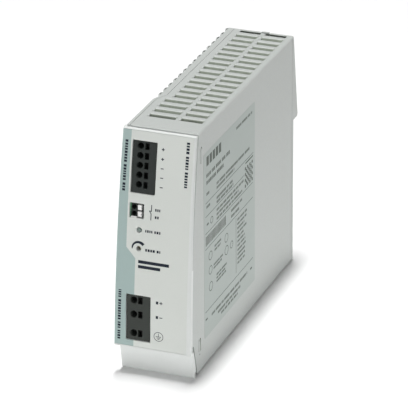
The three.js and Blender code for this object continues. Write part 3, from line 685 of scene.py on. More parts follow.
def make_louvres():
    """The pressed lips behind the slots, as one piece."""
    lips = []
    for row in range(1, LOUVRE_ROWS):
        front, back = around(louvre_y(row), LOUVRE_SLOT / 2)
        foot = WALL_FOOT if row < LOUVRE_ROWS - 1 else FRONT_ROW_FOOT
        for x in louvre_columns(row):
            lips.append(louvre_lip(grow(x, LIP_OVERLAP), back, foot))
            lips.append(louvre_bead(x[0] - 0.1, (front + 0.2, back + 0.5)))
    # The lips' front-facing walls take the darker colour as painted shade.
    piece("hood_louvres", gather(lips), [STEEL, CUT_EDGE_SHADE], smooth=50, pick=is_shaded_cut_edge)


def side_ridge(y, z, rise):
    """Long low bead pressed out of the right side, from its middle line and its height range."""
    low = SHELL_RIGHT - 0.2
    sections = []
    for u, share in pressed_ends([0, 0.08, 0.25, 0.5, RIDGE_END], z[1] - z[0]):
        size = bulge(share)
        half = RIDGE_HALF * max(size, 0.1)
        outline = [*dome((y, SHELL_RIGHT), half, rise * size), (y + half, low), (y - half, low)]
        sections.append([(b, a, z[0] + u) for a, b in outline])
    return loft(sections)


def is_shaded_cut_edge(face):
    """Punched edges of the top sheet and the side slit that face the front; they take the darker colour,
    partly bare cut metal and partly painted shade of the slots and the slit.
    """
    centre = face.calc_center_median()
    low, high = grow(LOWER_LANCE["z"], 0.5)
    if abs(centre.y - LOWER_LANCE["y"]) < 1.5 and low < centre.z < high:
        return centre.x > SHELL_RIGHT - SHEET - 0.1 and abs(face.normal.x) < 0.7
    return face.normal.y < -0.6 and centre.y > SHELL_FRONT + 0.5


def top_cutters():
    """Slots of the louvres, and a shallow dimple at the left end of each lip."""
    cutters = []
    for row in range(LOUVRE_ROWS):
        front, back = around(louvre_y(row), LOUVRE_SLOT / 2)
        for x in louvre_columns(row):
            cutters.append(prism("z", around(TOP, THROUGH), rounded(x, (front, back + 0.1), 0.3)))
            if row:
                dimple = rounded((x[0] - 0.9, x[0] - 0.3), (front - 0.2, front + 0.6), 0.25)
                cutters.append(prism("z", (TOP - DIMPLE_DEPTH, TOP + THROUGH), dimple))
    return cutters


def bottom_cutters():
    cutters = []
    for row in range(1, LOUVRE_ROWS - 3):
        for x in (LOUVRE_RIGHT, LOUVRE_LEFT):
            slot = rounded(x, around(louvre_y(row), BOTTOM_SLOT / 2), 0.55)
            cutters.append(prism("z", around(0, THROUGH), slot))
    return cutters


def side_cutters():
    """The notch at the top's back, the cheek's place, and the dots and the slit by the pressed ridges."""
    notch = rounded(BACK_NOTCH, (SHELL_BACK - 1.7, SHELL_BACK + THROUGH), 0.5)
    cutters = [prism("z", around(TOP, THROUGH), notch)]
    upper, lower = UPPER_LANCE, LOWER_LANCE
    heights = grow((0, TOP), -FOLD_RADIUS)
    cutters.append(block((CHEEK_PLACE[0], OUTSIDE), (CHEEK_PLACE[1], BEHIND - CLEAR), heights))
    dots = [((upper["y"] + 0.5, upper["z"][1] + 0.5), 0.6), ((lower["y"], lower["z"][0] - 1.7), 0.5)]
    for centre, radius in dots:
        cutters.append(prism("x", (SHELL_RIGHT - 0.5, OUTSIDE), ring(centre, radius, 14)))
    slit = rounded((lower["y"] + 0.4, lower["y"] + 1.6), (lower["z"][0] - 0.2, lower["z"][1] + 0.3), 0.3)
    cutters.append(prism("x", (SHELL_RIGHT - 2, OUTSIDE), slit))
    return cutters


def make_hood():
    sheet = combine(folded_sheet(), [side_keeper()], "INTERSECT")
    sheet = clean(cut(sheet, [seam_step(), *top_cutters(), *bottom_cutters(), *side_cutters()]))
    sheet = soften(sheet, EDGE_ROUND)
    # Front-facing cut edges take the darker colour as painted shade.
    piece("hood_sheet", sheet, [STEEL, CUT_EDGE_SHADE], "hood", pick=is_shaded_cut_edge)
    make_louvres()
    upper, lower = UPPER_LANCE, LOWER_LANCE
    ridges = [side_ridge(upper["y"], upper["z"], 0.5), side_ridge(lower["y"] - 0.6, lower["z"], 0.4)]
    piece("hood_beads", gather(ridges), STEEL, smooth=60)


def cover_x(y):
    """X of the left cover's flat at a place from front to back."""
    share = (y - COVER_STEP[0]) / (COVER_STEP[1] - COVER_STEP[0])
    share = max(0.0, min(1.0, share))
    return COVER_FACE + (COVER_FIELD - COVER_FACE) * share * share * (3 - 2 * share)


def rib_y(number):
    return louvre_y(number) + RIB_SHIFT


def rib_rise(y, z):
    """How far the ribs stand out of the left cover at a point."""
    nearest = min(abs(y - rib_y(i)) for i in range(RIBS))
    across = bulge(1 - nearest / RIB_HALF)
    head = min(1.0, 0.85 + (COVER_TOP - z) / 2)
    return RIB_RISE * across * bulge((z - RIB_FOOT) / RIB_CAP) * head


def rib_hollow(number):
    """The open upper end of a rib."""
    inside = COVER_FIELD + 0.3
    half = RIB_HALF - RIB_WALL
    crown = dome((rib_y(number), COVER_FIELD), half, RIB_SHALLOW - RIB_RISE)
    outline = [(rib_y(number) - half, inside), *crown, (rib_y(number) + half, inside)]
    return prism("z", (COVER_TOP - RIB_OPEN, COVER_TOP + CLEAR), [(b, a) for a, b in outline])


def steps(start, end, size):
    """Places from a start up to an end, a step apart."""
    return [start + size * i for i in range(int((end - start) / size) + 1)]


def cover_flange(front, z):
    """The left cover's edge folded in over the top or the bottom."""
    ys = [front, COVER_STEP[0], -31, -30, -29.5, -29, -28, COVER_STEP[1], SHELL_BACK]
    outline = [(cover_x(y), y) for y in ys]
    outline += [(SEAM_BACK - SEAM_GAP, SHELL_BACK), (SEAM_BACK - SEAM_GAP, SEAM_STEP[1])]
    outline += [(SEAM_FRONT - SEAM_GAP, SEAM_STEP[0]), (SEAM_FRONT - SEAM_GAP, front)]
    return soften(prism("z", z, outline), 0.15)


def make_cover():
    back = SHELL_BACK - 0.5
    ys = steps(FRONT, -40, 5) + steps(-33, -25.5, 0.5) + steps(-25, back, 0.42) + [back]
    ys = sorted({round(y, 3) for y in ys})
    ends = [0, 0.06, 0.2, 0.45, 0.8, 1.3, 2.0, 3.4]
    zs = ends + [1.5, 2.5] + [ends[-1] + 12.26 * i for i in range(1, 10)] + [COVER_TOP - e for e in ends]
    zs.sort()
    outer = [[(cover_x(y) - rib_rise(y, z), y, z) for z in zs] for y in ys]
    inner = [[(cover_x(y) + SHEET, y, z) for z in zs] for y in ys]
    face = combine(shell(outer, inner), [side_keeper()], "INTERSECT")
    face = cut(face, [rib_hollow(i) for i in range(RIBS)])
    piece("cover_face", face, STEEL, "left_cover", smooth=60, weighted=False)
    flanges = [cover_flange(SHELL_FRONT, (TOP - SHEET, TOP)), cover_flange(FOOT_FRONT, (0, SHEET))]
    piece("cover_flanges", gather(flanges), STEEL)


def screw(name, node, axis, seat, direction, radius, centre):
    """Pan head with a cross recess, standing on its seat."""
    high = seat + direction * HEAD_RISE
    profile = [(seat - direction * 1.5, 1.2), (seat, 1.2), (seat, radius), (seat + direction * 0.25, radius)]
    for angle in [k * math.pi / 10 for k in range(1, 5)]:
        crown = seat + direction * (0.25 + 0.9 * math.sin(angle))
        profile.append((crown, radius * math.cos(angle) ** 0.55))
    head = lathe(axis, centre, [*profile, (high, 0)])
    low, top = sorted((high, high - direction * CROSS_DEPTH))
    bars = []
    for half in ((radius * 0.62, CROSS_HALF), (CROSS_HALF, radius * 0.62)):
        outline = rounded(around(centre[0], half[0]), around(centre[1], half[1]), 0.15)
        bars.append(prism(axis, (low - 0.01, top + 0.3), outline))
    piece(name, cut(head, bars), ZINC, node, smooth=40, weighted=False)


def make_screws():
    for kind, (axis, seat, direction, radius, places) in SCREWS.items():
        for i, place in enumerate(places, 1):
            screw(f"{kind}_screw_head_{i}", f"{kind}_screw_{i}", axis, seat, direction, radius, place)


make_hood()
make_cover()
rounded_node("chassis_panel", "rear_chassis", 0.22, STEEL)
make_screws()


# ---- Rail fixing ----


def make_spring():
    """The latch's coil, from the guide's finger up to the latch."""
    low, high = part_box("latch_spring")
    start, end = low.z / MM + COIL["wire"], high.z / MM - COIL["wire"]
    count = COIL["turns"] * COIL["steps"]
    points = []
    for share in [i / count for i in range(count + 1)]:
        angle = 2 * math.pi * COIL["turns"] * share
        x = COIL["x"] + COIL["radius"] * math.cos(angle)
        y = COIL["y"] + COIL["radius"] * math.sin(angle)
        points.append((x, y, start + (end - start) * share))
    wire = tube(points, COIL["wire"])
    coil = piece("latch_coil", wire, ZINC, "latch_spring", smooth=80, weighted=False)
    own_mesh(coil)


rounded_node("hook_plate", "rail_hook", 0.3, ZINC, 3)
rounded_node("latch_blade", "foot_latch", 0.25, ZINC, 3, "foot_latch")
rounded_node("guide_bridge", "latch_guide", 0.3, ZINC, 3)
make_spring()


# ---- Plastic front ----


def front_holes(margin, round_margin):
    """Cutters for the windows, the lamp and the trimmer."""
    outlines = []
    for window in (OUTPUT, SIGNAL, INPUT):
        outlines.append(rounded(grow(window["x"], margin), grow(window["z"], margin), 0.3 + margin / 2))
    for hole in (LAMP, TRIMMER):
        outlines.append(ring((hole["x"], hole["z"]), hole["radius"] + round_margin))
    return [prism("y", HOLE_REACH, outline) for outline in outlines]


def film_outline(z, inset):
    """[x, z] outline between two heights, whose left side follows the plate's leaning edge."""
    left = []
    for height in z:
        share = (height - PLATE_Z[0]) / (PLATE_Z[1] - PLATE_Z[0])
        left.append(PLATE_LOW[0] + (PLATE_HIGH[0] - PLATE_LOW[0]) * share + inset)
    return [(left[0], z[0]), (FILM_RIGHT - FILM_LEAN, z[0]), (FILM_RIGHT + FILM_LEAN, z[1]), (left[1], z[1])]


def is_plate_rim(edge):
    """An edge on the right of the plate's front."""
    return min(v.co.x for v in edge.verts) > 19 and max(v.co.y for v in edge.verts) < 0.3


def make_plate():
    low, high = PLATE_Z
    outline = [(PLATE_LOW[0], low), (PLATE_LOW[1], low), (PLATE_HIGH[1], high), (PLATE_HIGH[0], high)]
    chamfer = [(-0.4, high + 1), (-0.4, FILM_Z[1] - 0.1), (1.9, high + 1)]
    slab = prism("y", (0, PLATE_SKIN), outline)
    slab = clean(cut(slab, [prism("x", around(0, WIDE), chamfer)]))
    rim = [edge for edge in slab.edges if is_plate_rim(edge)]
    bmesh.ops.bevel(slab, geom=rim, offset=0.7, segments=4, profile=0.5, affect="EDGES")
    recess = prism("y", (-1, FILM_RECESS), film_outline(FILM_Z, -2))
    slab = soften(clean(cut(slab, [recess, *front_holes(0, 0.12)]), 0.3), EDGE_ROUND, angle=28)
    piece("front_plate", bend_to_plate(slab), FRAME_PLASTIC, "front_frame")


def collar_outline(inset):
    """[y, z] outline of the collar, which follows the plate's arc in front."""
    top = TOP - SHEET - 0.3 - inset
    foot = 1.1 + inset
    back = SHELL_FRONT + 5 + inset
    heights = [PLATE_Z[0] + 11.3 * i for i in range(11)]
    front = [(plate_y(z) + PLATE_SKIN - 0.3 - inset, z) for z in [z for z in heights if z < top] + [top]]
    return [*front, (back, top), (back, foot), (-70.5 - inset, foot), (-73.8 - inset, PLATE_Z[0])]


def make_collar():
    """Wall behind the plate that slides into the housing."""
    x = (COVER_FACE + 1.1, SHELL_RIGHT - SHEET - 0.3)
    hollow = prism("x", grow(x, -COLLAR_WALL), collar_outline(COLLAR_WALL))
    walls = clean(cut(prism("x", x, collar_outline(0)), [hollow]))
    piece("front_collar", walls, FRAME_PLASTIC)


def make_chin():
    """The part below the plate: it slopes back to the foot, with a small foot at each end."""
    left, right = CHIN_X
    face = prism("x", CHIN_X, [*CHIN_FRONT, (-73.2, 0.0), (-73.6, 1.5), (-75.6, CHIN_TOP)])
    cheek = [*CHIN_FRONT, (-73.6, 0.0), (-73.5, 2.7), (-72.2, 2.9), (-75.2, CHIN_TOP)]
    spans = [(left, left + CHEEK_WIDTH), (right - CHEEK_WIDTH, right)]
    cheeks = [prism("x", grow(span, -0.01), cheek) for span in spans]
    chin = soften(clean(combine(face, cheeks, "UNION"), 0.4), 0.3, 3)
    piece("front_chin", chin, FRAME_PLASTIC)


def make_film_part(name, material, far, stands_for=None):
    """The film on one side of the coloured band's edge, out to a far X."""
    film = prism("y", (FILM_FACE, FILM_RECESS - 0.02), film_outline(grow(FILM_Z, -FILM_GAP), FILM_GAP))
    keeper = prism("y", (-2, 2), [(far, BAND_EDGE[0][1]), *BAND_EDGE, (far, BAND_EDGE[-1][1])])
    film = combine(film, [keeper], "INTERSECT")
    film = clean(cut(film, front_holes(0.12, 0.3)), 0.3)
    piece(name, bend_to_plate(film), material, stands_for)


make_plate()
make_collar()
make_chin()
make_film_part("front_film", FILM, WIDE, "front_label")
make_film_part("front_band", BAND, -WIDE)


# ---- Terminal blocks ----


def funnel(x, z, radius):
    """Wire entry: a chamfered mouth, a short cone and a bore."""
    mouth = [(-1, 0), (-1, radius + 0.08), (0.3, radius + 0.05)]
    return lathe("y", (x, z), [*mouth, (1.7, radius - 0.3), (11, radius - 0.35), (11, 0)], 32)


def power_block(name, node, spec, hole, material):
    x, z = grow(spec["x"], -BLOCK_GAP), grow(spec["z"], -BLOCK_GAP)
    cutters = []
    width, height = hole["slot"]
    for pole in spec["poles"]:
        cutters.append(funnel(hole["x"], pole, hole["radius"]))
        opening = rounded(around(hole["slot_x"], width / 2), around(pole, height / 2), 0.2)
        cutters.append(prism("y", (-2, 13), opening))
    body = soften(clean(cut(prism("y", (0.3, 16), rounded(x, z, 0.35)), cutters), 0.3), 0.13)
    piece(name, bend_to_plate(body), material, node)


def release_piece(node, x, z, size):
    """Sliding piece in a square opening, with a screwdriver notch in its face; its near-black colour is
    painted shade that makes the opening look dark.
    """
    half = (size[0] / 2 - BLOCK_GAP, size[1] / 2 - BLOCK_GAP)
    bar = prism("y", (3.4, 10.4), rounded(around(x, half[0]), around(z, half[1]), 0.2))
    notch = prism("y", (0, 4.1), rounded(around(x, half[0] * 0.7), around(z, 0.35), 0.1))
    shape = set_on_plate(soften(clean(cut(bar, [notch])), 0.1), z)
    piece(f"{node}_slide", shape, RELEASE_PAINTED_SHADE, node, node)


def make_signal_block():
    """The small block, with a pale ledge under it and the board's edge left of it."""
    cutters = []
    for z in SIGNAL["poles"]:
        mouth = [(0, 0), (0, 1.35), (1.2, 1.3), (1.9, 1.0), (8, 1.0), (8, 0)]
        cutters.append(lathe("y", (SIGNAL_HOLE_X, z), mouth, 28))
        cutters.append(prism("y", (0, 9), rounded(around(SIGNAL_BUTTON_X, 1.25), around(z, 1.5), 0.2)))
    body = prism("y", (0.8, 12), rounded((-12.95, -6.35), (84.2, 90.85), 0.3))
    body = soften(clean(cut(body, cutters), 0.3), 0.1)
    piece("signal_block", bend_to_plate(body), BLACK_PLASTIC, "signal_terminal")
    ledge = soften(block((-12.9, -9.9), (0.5, 3.0), (83.55, 84.15)), 0.1)
    piece("signal_ledge", bend_to_plate(ledge), WHITE_PLASTIC)
    tongue = soften(block((-13.52, -13.0), (0.7, 6.0), (83.7, 90.9)), 0.08)
    piece("board_tongue", bend_to_plate(tongue), BOARD)


def signal_button(node, z):
    """White release button with a small notch in its right side."""
    x = around(SIGNAL_BUTTON_X, 1.05)
    bar = prism("y", (0.4, 7.4), rounded(x, around(z, 1.35), 0.25))
    notch = block((x[1] - 0.45, x[1] + 1), (-1, 1.3), around(z, 0.3))
    shape = set_on_plate(soften(clean(cut(bar, [notch])), 0.1), z)
    piece(f"{node}_cap", shape, WHITE_PLASTIC, node, node)


def make_terminals():
    power_block("output_block", "output_terminal", OUTPUT, OUTPUT_HOLE, BLACK_PLASTIC)
    power_block("input_block", "input_terminal", INPUT, INPUT_HOLE, GREY_PLASTIC)
    for kind, spec, hole in (("output", OUTPUT, OUTPUT_HOLE), ("input", INPUT, INPUT_HOLE)):
        for i, z in enumerate(spec["poles"], 1):
            release_piece(f"{kind}_release_{i}", hole["slot_x"], z, hole["slot"])
    make_signal_block()
    for i, z in enumerate(SIGNAL["poles"], 1):
        signal_button(f"signal_button_{i}", z)
    for node in ("plus_bar", "minus_bar"):
        rounded_node(f"{node}_strip", node, EDGE_ROUND, TIN)


def make_lamp():
    """Domed end of the light pipe, and its foot on the board."""
    y = plate_y(LAMP["z"])
    profile = [(12, 0), (12, 1.12), (0.5, 1.12), (0.3, 1.06), (0.15, 0.9), (0.06, 0.5), (0.05, 0)]
    lens = lathe("y", (LAMP["x"], LAMP["z"]), [(y + depth, radius) for depth, radius in profile], 32)
    foot = soften(block((ON_BOARD, LAMP["x"]), (y + 8, y + 12), around(LAMP["z"], 1.2)), 0.2)
    piece("lamp_lens", gather([lens, foot]), LENS, "lamp_pipe", weighted=False)


def make_trimmer():
    y = plate_y(TRIMMER["z"])
    x, z = TRIMMER["x"], TRIMMER["z"]
    profile = [(1.6, 0), (1.6, 0.85), (1.8, 1.05), (6.0, 1.05), (6.0, 2.3), (6.2, 2.4), (8.4, 2.4), (8.4, 0)]
    rotor = lathe("y", (x, z), [(y + depth, radius) for depth, radius in profile], 32)
    slant = math.sqrt(0.5)
    slot = [(x + (a - b) * slant, z + (a + b) * slant) for a, b in rounded((-1.6, 1.6), (-0.4, 0.4), 0.1)]
    rotor = cut(rotor, [prism("y", (y, y + 2.6), slot)])
    piece(
        "trimmer_dial", rotor, ROTOR_PLASTIC, "trimmer_rotor", "trimmer", weighted=False
    )
    rounded_node("trimmer_case", "trimmer_body", 0.2, CERAMIC)


make_terminals()
make_lamp()
make_trimmer()


# ---- Printing ----

random.seed(7)


def word_blocks(span, size):
    """Ranges of small plain blocks that stand where a line of print would be."""
    ranges = []
    at, end = span
    in_word = 0
    while at < end - size * 0.3:
        width = size * random.uniform(0.45, 0.85)
        ranges.append((at, min(end, at + width)))
        in_word += 1
        gap = size * 0.28
        if in_word >= 3 and random.random() < 0.35:
            gap = size * 0.8
            in_word = 0
        at += width + gap
    return ranges


def stroke(points, widths):
    """Outline of a bent line of ink, from points along its middle and its width at each."""
    left, right = [], []
    for i, (a, b) in enumerate(points):
        before, after = points[max(i - 1, 0)], points[min(i + 1, len(points) - 1)]
        da, db = after[0] - before[0], after[1] - before[1]
        half = widths[i] / 2 / math.hypot(da, db)
        left.append((a - db * half, b + da * half))
        right.append((a + db * half, b - da * half))
    return left + right[::-1]


def front_mark(outline):
    """A patch of ink on the film, from its [x, z] outline."""
    return bend_to_plate(prism("y", (FILM_FACE - 0.035, FILM_FACE + 0.05), outline))


def bar_mark(x, z):
    return front_mark(oblong(x, z))


def line_mark(points, width):
    return front_mark(stroke(points, [width] * len(points)))


def upright_line(x, z, lean):
    """Plain blocks running up the film."""
    marks = []
    for span in word_blocks(z, x[1] - x[0]):
        shift = lean * (sum(span) - sum(z)) / 2
        marks.append(bar_mark((x[0] + shift, x[1] + shift), span))
    return marks


def level_line(x, z):
    """Plain blocks running across the film."""
    return [bar_mark(span, z) for span in word_blocks(x, z[1] - z[0])]


def pole_signs():
    """A plus or a minus beside each pole of the output block and the upper two of the input block."""
    marks = []
    for z in (119.7, 114.9, 110.2, 105.5, 100.8):
        marks.append(bar_mark(around(2.5, 0.75), around(z, 0.22)))
        if z > 112:
            marks.append(bar_mark(around(2.5, 0.22), (z + 0.22, z + 0.75)))
            marks.append(bar_mark(around(2.5, 0.22), (z - 0.75, z - 0.22)))
    for z in (41.1, 33.3):
        marks.append(bar_mark((1.7, 2.9), around(z, 0.75)))
        marks.append(bar_mark(around(4.4, 0.8), around(z, 0.2)))
    marks.append(bar_mark(around(4.4, 0.2), (41.3, 41.9)))
    marks.append(bar_mark(around(4.4, 0.2), (40.3, 40.9)))
    return marks


def contact_sign():
    """Three strokes of an open contact."""
    return [
        line_mark([(-2.0, 91.4), (-2.05, 88.2)], 0.4),
        line_mark([(-1.9, 88.15), (-3.2, 88.3)], 0.32),
        line_mark([(-3.1, 88.35), (-2.15, 86.8), (-2.2, 83.6)], 0.4),
    ]


def earth_sign(x, z):
    """A ring with a stem and three bars."""
    marks = [line_mark(arc((x, z), 2.4, 0, 359, 40), 0.26), bar_mark(around(x, 0.12), (z + 0.1, z + 1.8))]
    for drop, half in ((0, 1.4), (0.7, 0.95), (1.4, 0.5)):
        marks.append(bar_mark(around(x, half), around(z - drop, 0.13)))
    return marks


def make_front_print():
    marks = pole_signs() + contact_sign() + earth_sign(3.2, 22.9)
    for x, z in (((-0.1, 2.6), 89.05), ((-0.1, 2.6), 85.35), ((-4.9, 3.8), 77.65), ((-4.6, 3.4), 67.85)):
        marks += level_line(x, around(z, 0.65))
    sweep = arc((TRIMMER["x"], TRIMMER["z"]), 3.35, 186, 40, 18)
    marks.append(front_mark(stroke(sweep, [0.35 + 1.2 * (i / 18) ** 0.6 for i in range(19)])))
    marks += [bar_mark((-8.2, 8.2), (60.6, 62.2)), bar_mark((-8.2, 3.6), (58.0, 59.6))]
    marks += upright_line((14.5, 16.1), (102.4, 125.2), 0.012)
    marks += upright_line((-17.7, -16.2), (96.6, 122.4), 0.02)
    marks += upright_line((-18.6, -17.1), (18.4, 45.2), 0.02)
    piece("front_print", gather(marks), INK, weighted=False)


def label_mark(outline):
    """A patch of ink on the rating label, from its [y, z] outline."""
    return prism("x", (LABEL_FACE - 0.04, LABEL_FACE + 0.03), outline)


def label_bar(y, z):
    return label_mark(oblong(y, z))


def label_rows():
    """Rows of plain blocks, then a narrow column of them with uneven ends."""
    marks = []
    for start, end, z, height in LABEL_ROWS:
        marks += [label_bar(span, around(z, height / 2)) for span in word_blocks((start, end), height)]
    for i in range(11):
        y = (-12.3, random.uniform(-3.0, 3.0))
        marks += [label_bar(span, around(60.6 - 2.45 * i, 0.6)) for span in word_blocks(y, 1.2)]
    return marks


def label_code():
    """Plain bars and checks that encode nothing."""
    marks = []
    for i in range(5):
        marks.append(label_bar((-55.7 + 4.3 * i, -52.6 + 4.3 * i), (108.2, 113.2)))
    for i in range(17):
        marks.append(label_bar((-57.4 + 1.7 * i, -56.5 + 1.7 * i), (65.3, 70.5)))
    for i in range(7):
        for k in range(i % 2, 7, 2):
            marks.append(label_bar((-1.3 + 1.65 * i, 0.35 + 1.65 * i), (73.6 + 1.62 * k, 75.22 + 1.62 * k)))
    return marks


def make_rating_label():
    sheet = soften(prism("x", (SHELL_RIGHT - 0.02, LABEL_FACE), rounded(LABEL_Y, LABEL_Z, 1.0)), 0.02, 1)
    piece("rating_sheet", sheet, STICKER, "rating_label")
    marks = label_rows() + label_code()
    for start, end, z in LABEL_LINES:
        marks.append(label_bar((start, end), around(z, 0.16)))
    marks += [label_bar((-0.4, 10.6), (86.6, 87.4)), label_bar((-14.6, -14.3), (31.4, 62.4))]
    for y, z, radius in LABEL_RINGS:
        marks.append(label_mark(stroke(arc((y, z), radius, 0, 358, 28), [0.4] * 29)))
    for y, z in ((-54.6, 76.6), (7.7, 24.2), (-57.0, 25.0)):
        marks.append(label_bar(around(y, 1.3), around(z, 0.5)))
    piece("rating_print", gather(marks), LABEL_INK, weighted=False)


make_front_print()
make_rating_label()


# ---- Board and power parts ----


def capacitor(node, centre, radius, height):
    """Electrolytic can: sleeve with a rolled groove, bare top with a scored vent."""
    foot = [(0, 0), (0, radius - 0.5), (0.4, radius - 0.1), (1.8, radius)]
    groove = [(2.2, radius - 0.5), (2.8, radius - 0.5), (3.2, radius)]
    rim = [(height - 0.7, radius), (height - 0.2, radius - 0.4), (height, radius - 0.9)]
    profile = [*foot, *groove, *rim, (height - 0.25, radius - 1.1), (height - 0.25, 0)]
    can = lathe("x", centre, [(ON_BOARD + rise, r) for rise, r in profile], 48)
    top = ON_BOARD + height
    scores = []
    for y, z in ((radius * 0.7, 0.15), (0.15, radius * 0.7)):
        scores.append(block((top - 0.45, top + 1), around(centre[0], y), around(centre[1], z)))
    can = cut(can, scores)
    piece(
        f"{node}_can", can, [SLEEVE, ALUMINIUM], node, weighted=False,
        pick=lambda face: face.calc_center_median().x > top - 0.3,
    )


def wound_ring(node, centre, outer, inner, height, turns):
    """Ring core with enamelled wire wound round it."""
    x = grow((ON_BOARD, ON_BOARD + height), -1.2)
    core = [(x[0] + 0.6, inner + 1.3), (x[0], inner + 1.9), (x[0], outer - 1.9), (x[0] + 0.6, outer - 1.3)]
    core += [(x[1] - 0.6, outer - 1.3), (x[1], outer - 1.9), (x[1], inner + 1.9), (x[1] - 0.6, inner + 1.3)]
    body = lathe("x", centre, [*core, core[0]], 48)
    wire = 0.5
    per_turn = 12
    reach = ((outer - inner) / 2 - wire - 0.1, (x[1] - x[0]) / 2 + wire + 0.05)
    points = []
    for i in range(turns * per_turn):
        swing = 2 * math.pi * i / per_turn
        turn = 2 * math.pi * i / (turns * per_turn) * 0.92
        across, along = (max(-1.0, min(1.0, 1.35 * wave)) for wave in (math.cos(swing), math.sin(swing)))
        radius = (outer + inner) / 2 + across * reach[0]
        y, z = centre[0] + radius * math.cos(turn), centre[1] + radius * math.sin(turn)
        points.append((sum(x) / 2 + along * reach[1], y, z))
    piece(f"{node}_core", body, FERRITE)
    piece(f"{node}_wire", tube(points, wire, 6), COPPER, node, smooth=80, weighted=False)


def finned_sink(node, fin_axis, row_axis):
    """Extruded heat sink: a base that takes up part of the plate's thickness, and fins on it in a row."""
    low, high = (Vector(corner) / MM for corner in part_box(node))
    base = low[fin_axis] + (high[fin_axis] - low[fin_axis]) * 0.45
    spans = [list(span) for span in zip(low, high)]
    spans[fin_axis][1] = base
    body = block(*spans)
    spans[fin_axis] = [base - 0.05, high[fin_axis]]
    fins = []
    for start in steps(low[row_axis], high[row_axis], FIN_PITCH):
        spans[row_axis] = [start, min(start + 1.2, high[row_axis])]
        fins.append(block(*spans))
    sink = soften(clean(combine(body, fins, "UNION")), 0.15)
    piece(f"{node}_fins", sink, ALUMINIUM, node)


def make_fuse():
    front, back = -52, -33
    x, z = ON_BOARD + 6, 14
    profile = [(front + 4.5, 0), (front + 4.5, 2.2), (back - 4.5, 2.2), (back - 4.5, 0)]
    piece("fuse_tube", lathe("y", (x, z), profile), GLAZE, "fuse")
    caps = []
    for start in (front, back - 5):
        profile = [(0, 0), (0, 2.1), (0.4, 2.4), (4.6, 2.4), (5, 2.2), (5, 0)]
        caps.append(lathe("y", (x, z), [(start + depth, radius) for depth, radius in profile]))
        caps.append(soften(block((ON_BOARD, x), (start + 1.4, start + 3.4), around(z, 2)), 0.15))
    piece("fuse_caps", gather(caps), TIN, weighted=False)


def make_inside():
    for i, place in enumerate([(34, 24), (56, 24)], 1):
        capacitor(f"bulk_capacitor_{i}", place, 10.5, 30)
    for i, z in enumerate([112, 98, 84], 1):
        capacitor(f"output_capacitor_{i}", (-42.4, z), 6.2, 25)
    wound_ring("filter_choke", (-22, 38), 11, 4.5, 18, 30)
    wound_ring("boost_choke", (6, 27), 13, 5, 20, 38)
    finned_sink("input_heat_sink", 2, 1)
    finned_sink("output_heat_sink", 1, 2)
    make_fuse()
    for node, (width, material, slot) in ROUNDED_PARTS.items():
        rounded_node(f"{node}_body", node, width, material, 3)
    for i in range(1, 5):
        rounded_node(f"board_pillar_{i}_post", f"board_pillar_{i}", 0.25, TIN)
    for node, material in (("circuit_board", BOARD), ("insulation_sheet", PAPER)):
        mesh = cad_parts[node].data
        mesh.materials.clear()
        mesh.materials.append(material)


ROUNDED_PARTS = {
    "transformer_core": (0.4, FERRITE, "ferrite"),
    "transformer_winding": (1.0, TAPE, "tape"),
    "filter_capacitor": (0.6, TAPE, "tape"),
    "switching_transistor": (0.3, BLACK_PLASTIC, "black_plastic"),
    "output_rectifier": (0.3, BLACK_PLASTIC, "black_plastic"),
    "signal_relay": (0.4, BLACK_PLASTIC, "black_plastic"),
    "surge_disc": (1.6, CERAMIC, "blue_ceramic"),
}

make_inside()


# ---- Floor, light and camera, in metres ----

WORLD_LOW = 1.9  # strength of the surroundings near the horizon
WORLD_HIGH = 0.08
CEILING_POWER = 38.0
CEILING_PLACE = (-0.075, 0.14, 2.0)
CEILING_SIZE = (0.22, 0.6)
FRONT_POWER = 3.1
SIDE_POWER = 0.055
CAMERA_AZIMUTH = math.radians(21.067)
CAMERA_ELEVATION = math.radians(24.501)
CAMERA_ROLL = math.radians(-0.413)
CAMERA_DISTANCE = 1.5753
CAMERA_LENS = 270.24
CAMERA_TARGET = Vector((0, 0, 0.065))
CAMERA_OFFSET = (-0.002472, -0.003636)


def make_floor():
    bm = bmesh.new()
    bmesh.ops.create_grid(bm, x_segments=8, y_segments=8, size=9)
    floor = new_object("floor", bm)
    tone = (0.97, 0.97, 0.97)
    paint = Surface("floor_white", tone, 0.85, blotch=0.004, grain=0.004, bump=0.0, gloss_spread=0.02)
    floor.data.materials.append(paint.material)


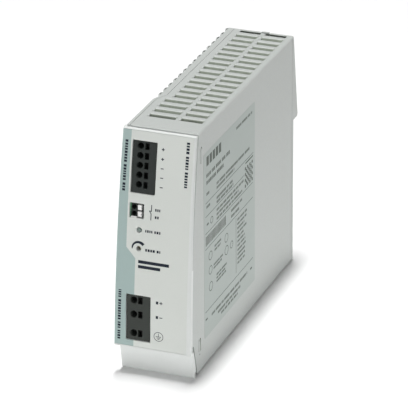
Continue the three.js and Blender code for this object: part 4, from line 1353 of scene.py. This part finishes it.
def make_world():
    """Pale surroundings, brightest near the horizon."""
    world = bpy.data.worlds.new("studio")
    world.use_nodes = True
    tree = world.node_tree
    background = next(n for n in tree.nodes if n.type == "BACKGROUND")
    coordinates = tree.nodes.new("ShaderNodeTexCoord")
    split = tree.nodes.new("ShaderNodeSeparateXYZ")
    ramp = tree.nodes.new("ShaderNodeMapRange")
    limits = {"From Min": 0.08, "From Max": 0.28, "To Min": WORLD_LOW, "To Max": WORLD_HIGH}
    for key, value in limits.items():
        ramp.inputs[key].default_value = value
    tree.links.new(coordinates.outputs["Generated"], split.inputs["Vector"])
    tree.links.new(split.outputs["Z"], ramp.inputs["Value"])
    tree.links.new(ramp.outputs["Result"], background.inputs["Strength"])
    background.inputs["Color"].default_value = (1, 1, 1, 1)
    bpy.context.scene.world = world


def soft_light(name, shape, size, power, place, target):
    light = bpy.data.lights.new(name, "AREA")
    light.shape = shape
    light.size, light.size_y = size
    light.energy = power
    holder = bpy.data.objects.new(name, light)
    holder.location = place
    holder.rotation_euler = (Vector(place) - Vector(target)).to_track_quat("Z", "Y").to_euler()
    bpy.context.scene.collection.objects.link(holder)


def make_lights():
    """A high soft lamp for the contact shadow, and two low fills."""
    soft_light("ceiling", "ELLIPSE", CEILING_SIZE, CEILING_POWER, CEILING_PLACE, (*CEILING_PLACE[:2], 0))
    soft_light("front_fill", "RECTANGLE", (1.2, 0.5), FRONT_POWER, (-0.5, -1.3, 0.32), (0, 0, 0.05))
    soft_light("side_fill", "RECTANGLE", (0.26, 0.03), SIDE_POWER, (0.19, -0.03, 0.03), (0.11, -0.03, -0.02))


def make_camera():
    """Camera that looks at its target from an azimuth and an elevation, a little rolled and off centre."""
    level = Vector((math.cos(CAMERA_AZIMUTH), math.sin(CAMERA_AZIMUTH), 0))
    away = Vector((math.sin(CAMERA_AZIMUTH), -math.cos(CAMERA_AZIMUTH), 0))
    back = away * math.cos(CAMERA_ELEVATION) + Vector((0, 0, math.sin(CAMERA_ELEVATION)))
    upright = back.cross(level)
    right = math.cos(CAMERA_ROLL) * level + math.sin(CAMERA_ROLL) * upright
    up = -math.sin(CAMERA_ROLL) * level + math.cos(CAMERA_ROLL) * upright
    place = CAMERA_TARGET + back * CAMERA_DISTANCE + right * CAMERA_OFFSET[0] + up * CAMERA_OFFSET[1]
    data = bpy.data.cameras.new("camera")
    data.sensor_width = 36
    data.lens = CAMERA_LENS
    data.clip_start = 0.05
    data.clip_end = 50
    camera = bpy.data.objects.new("camera", data)
    turn = Matrix((right, up, back)).transposed().to_4x4()
    camera.matrix_world = Matrix.Translation(place) @ turn
    bpy.context.scene.collection.objects.link(camera)
    bpy.context.scene.camera = camera


make_floor()
make_world()
make_lights()
make_camera()
bpy.context.scene.view_settings.view_transform = "Standard"
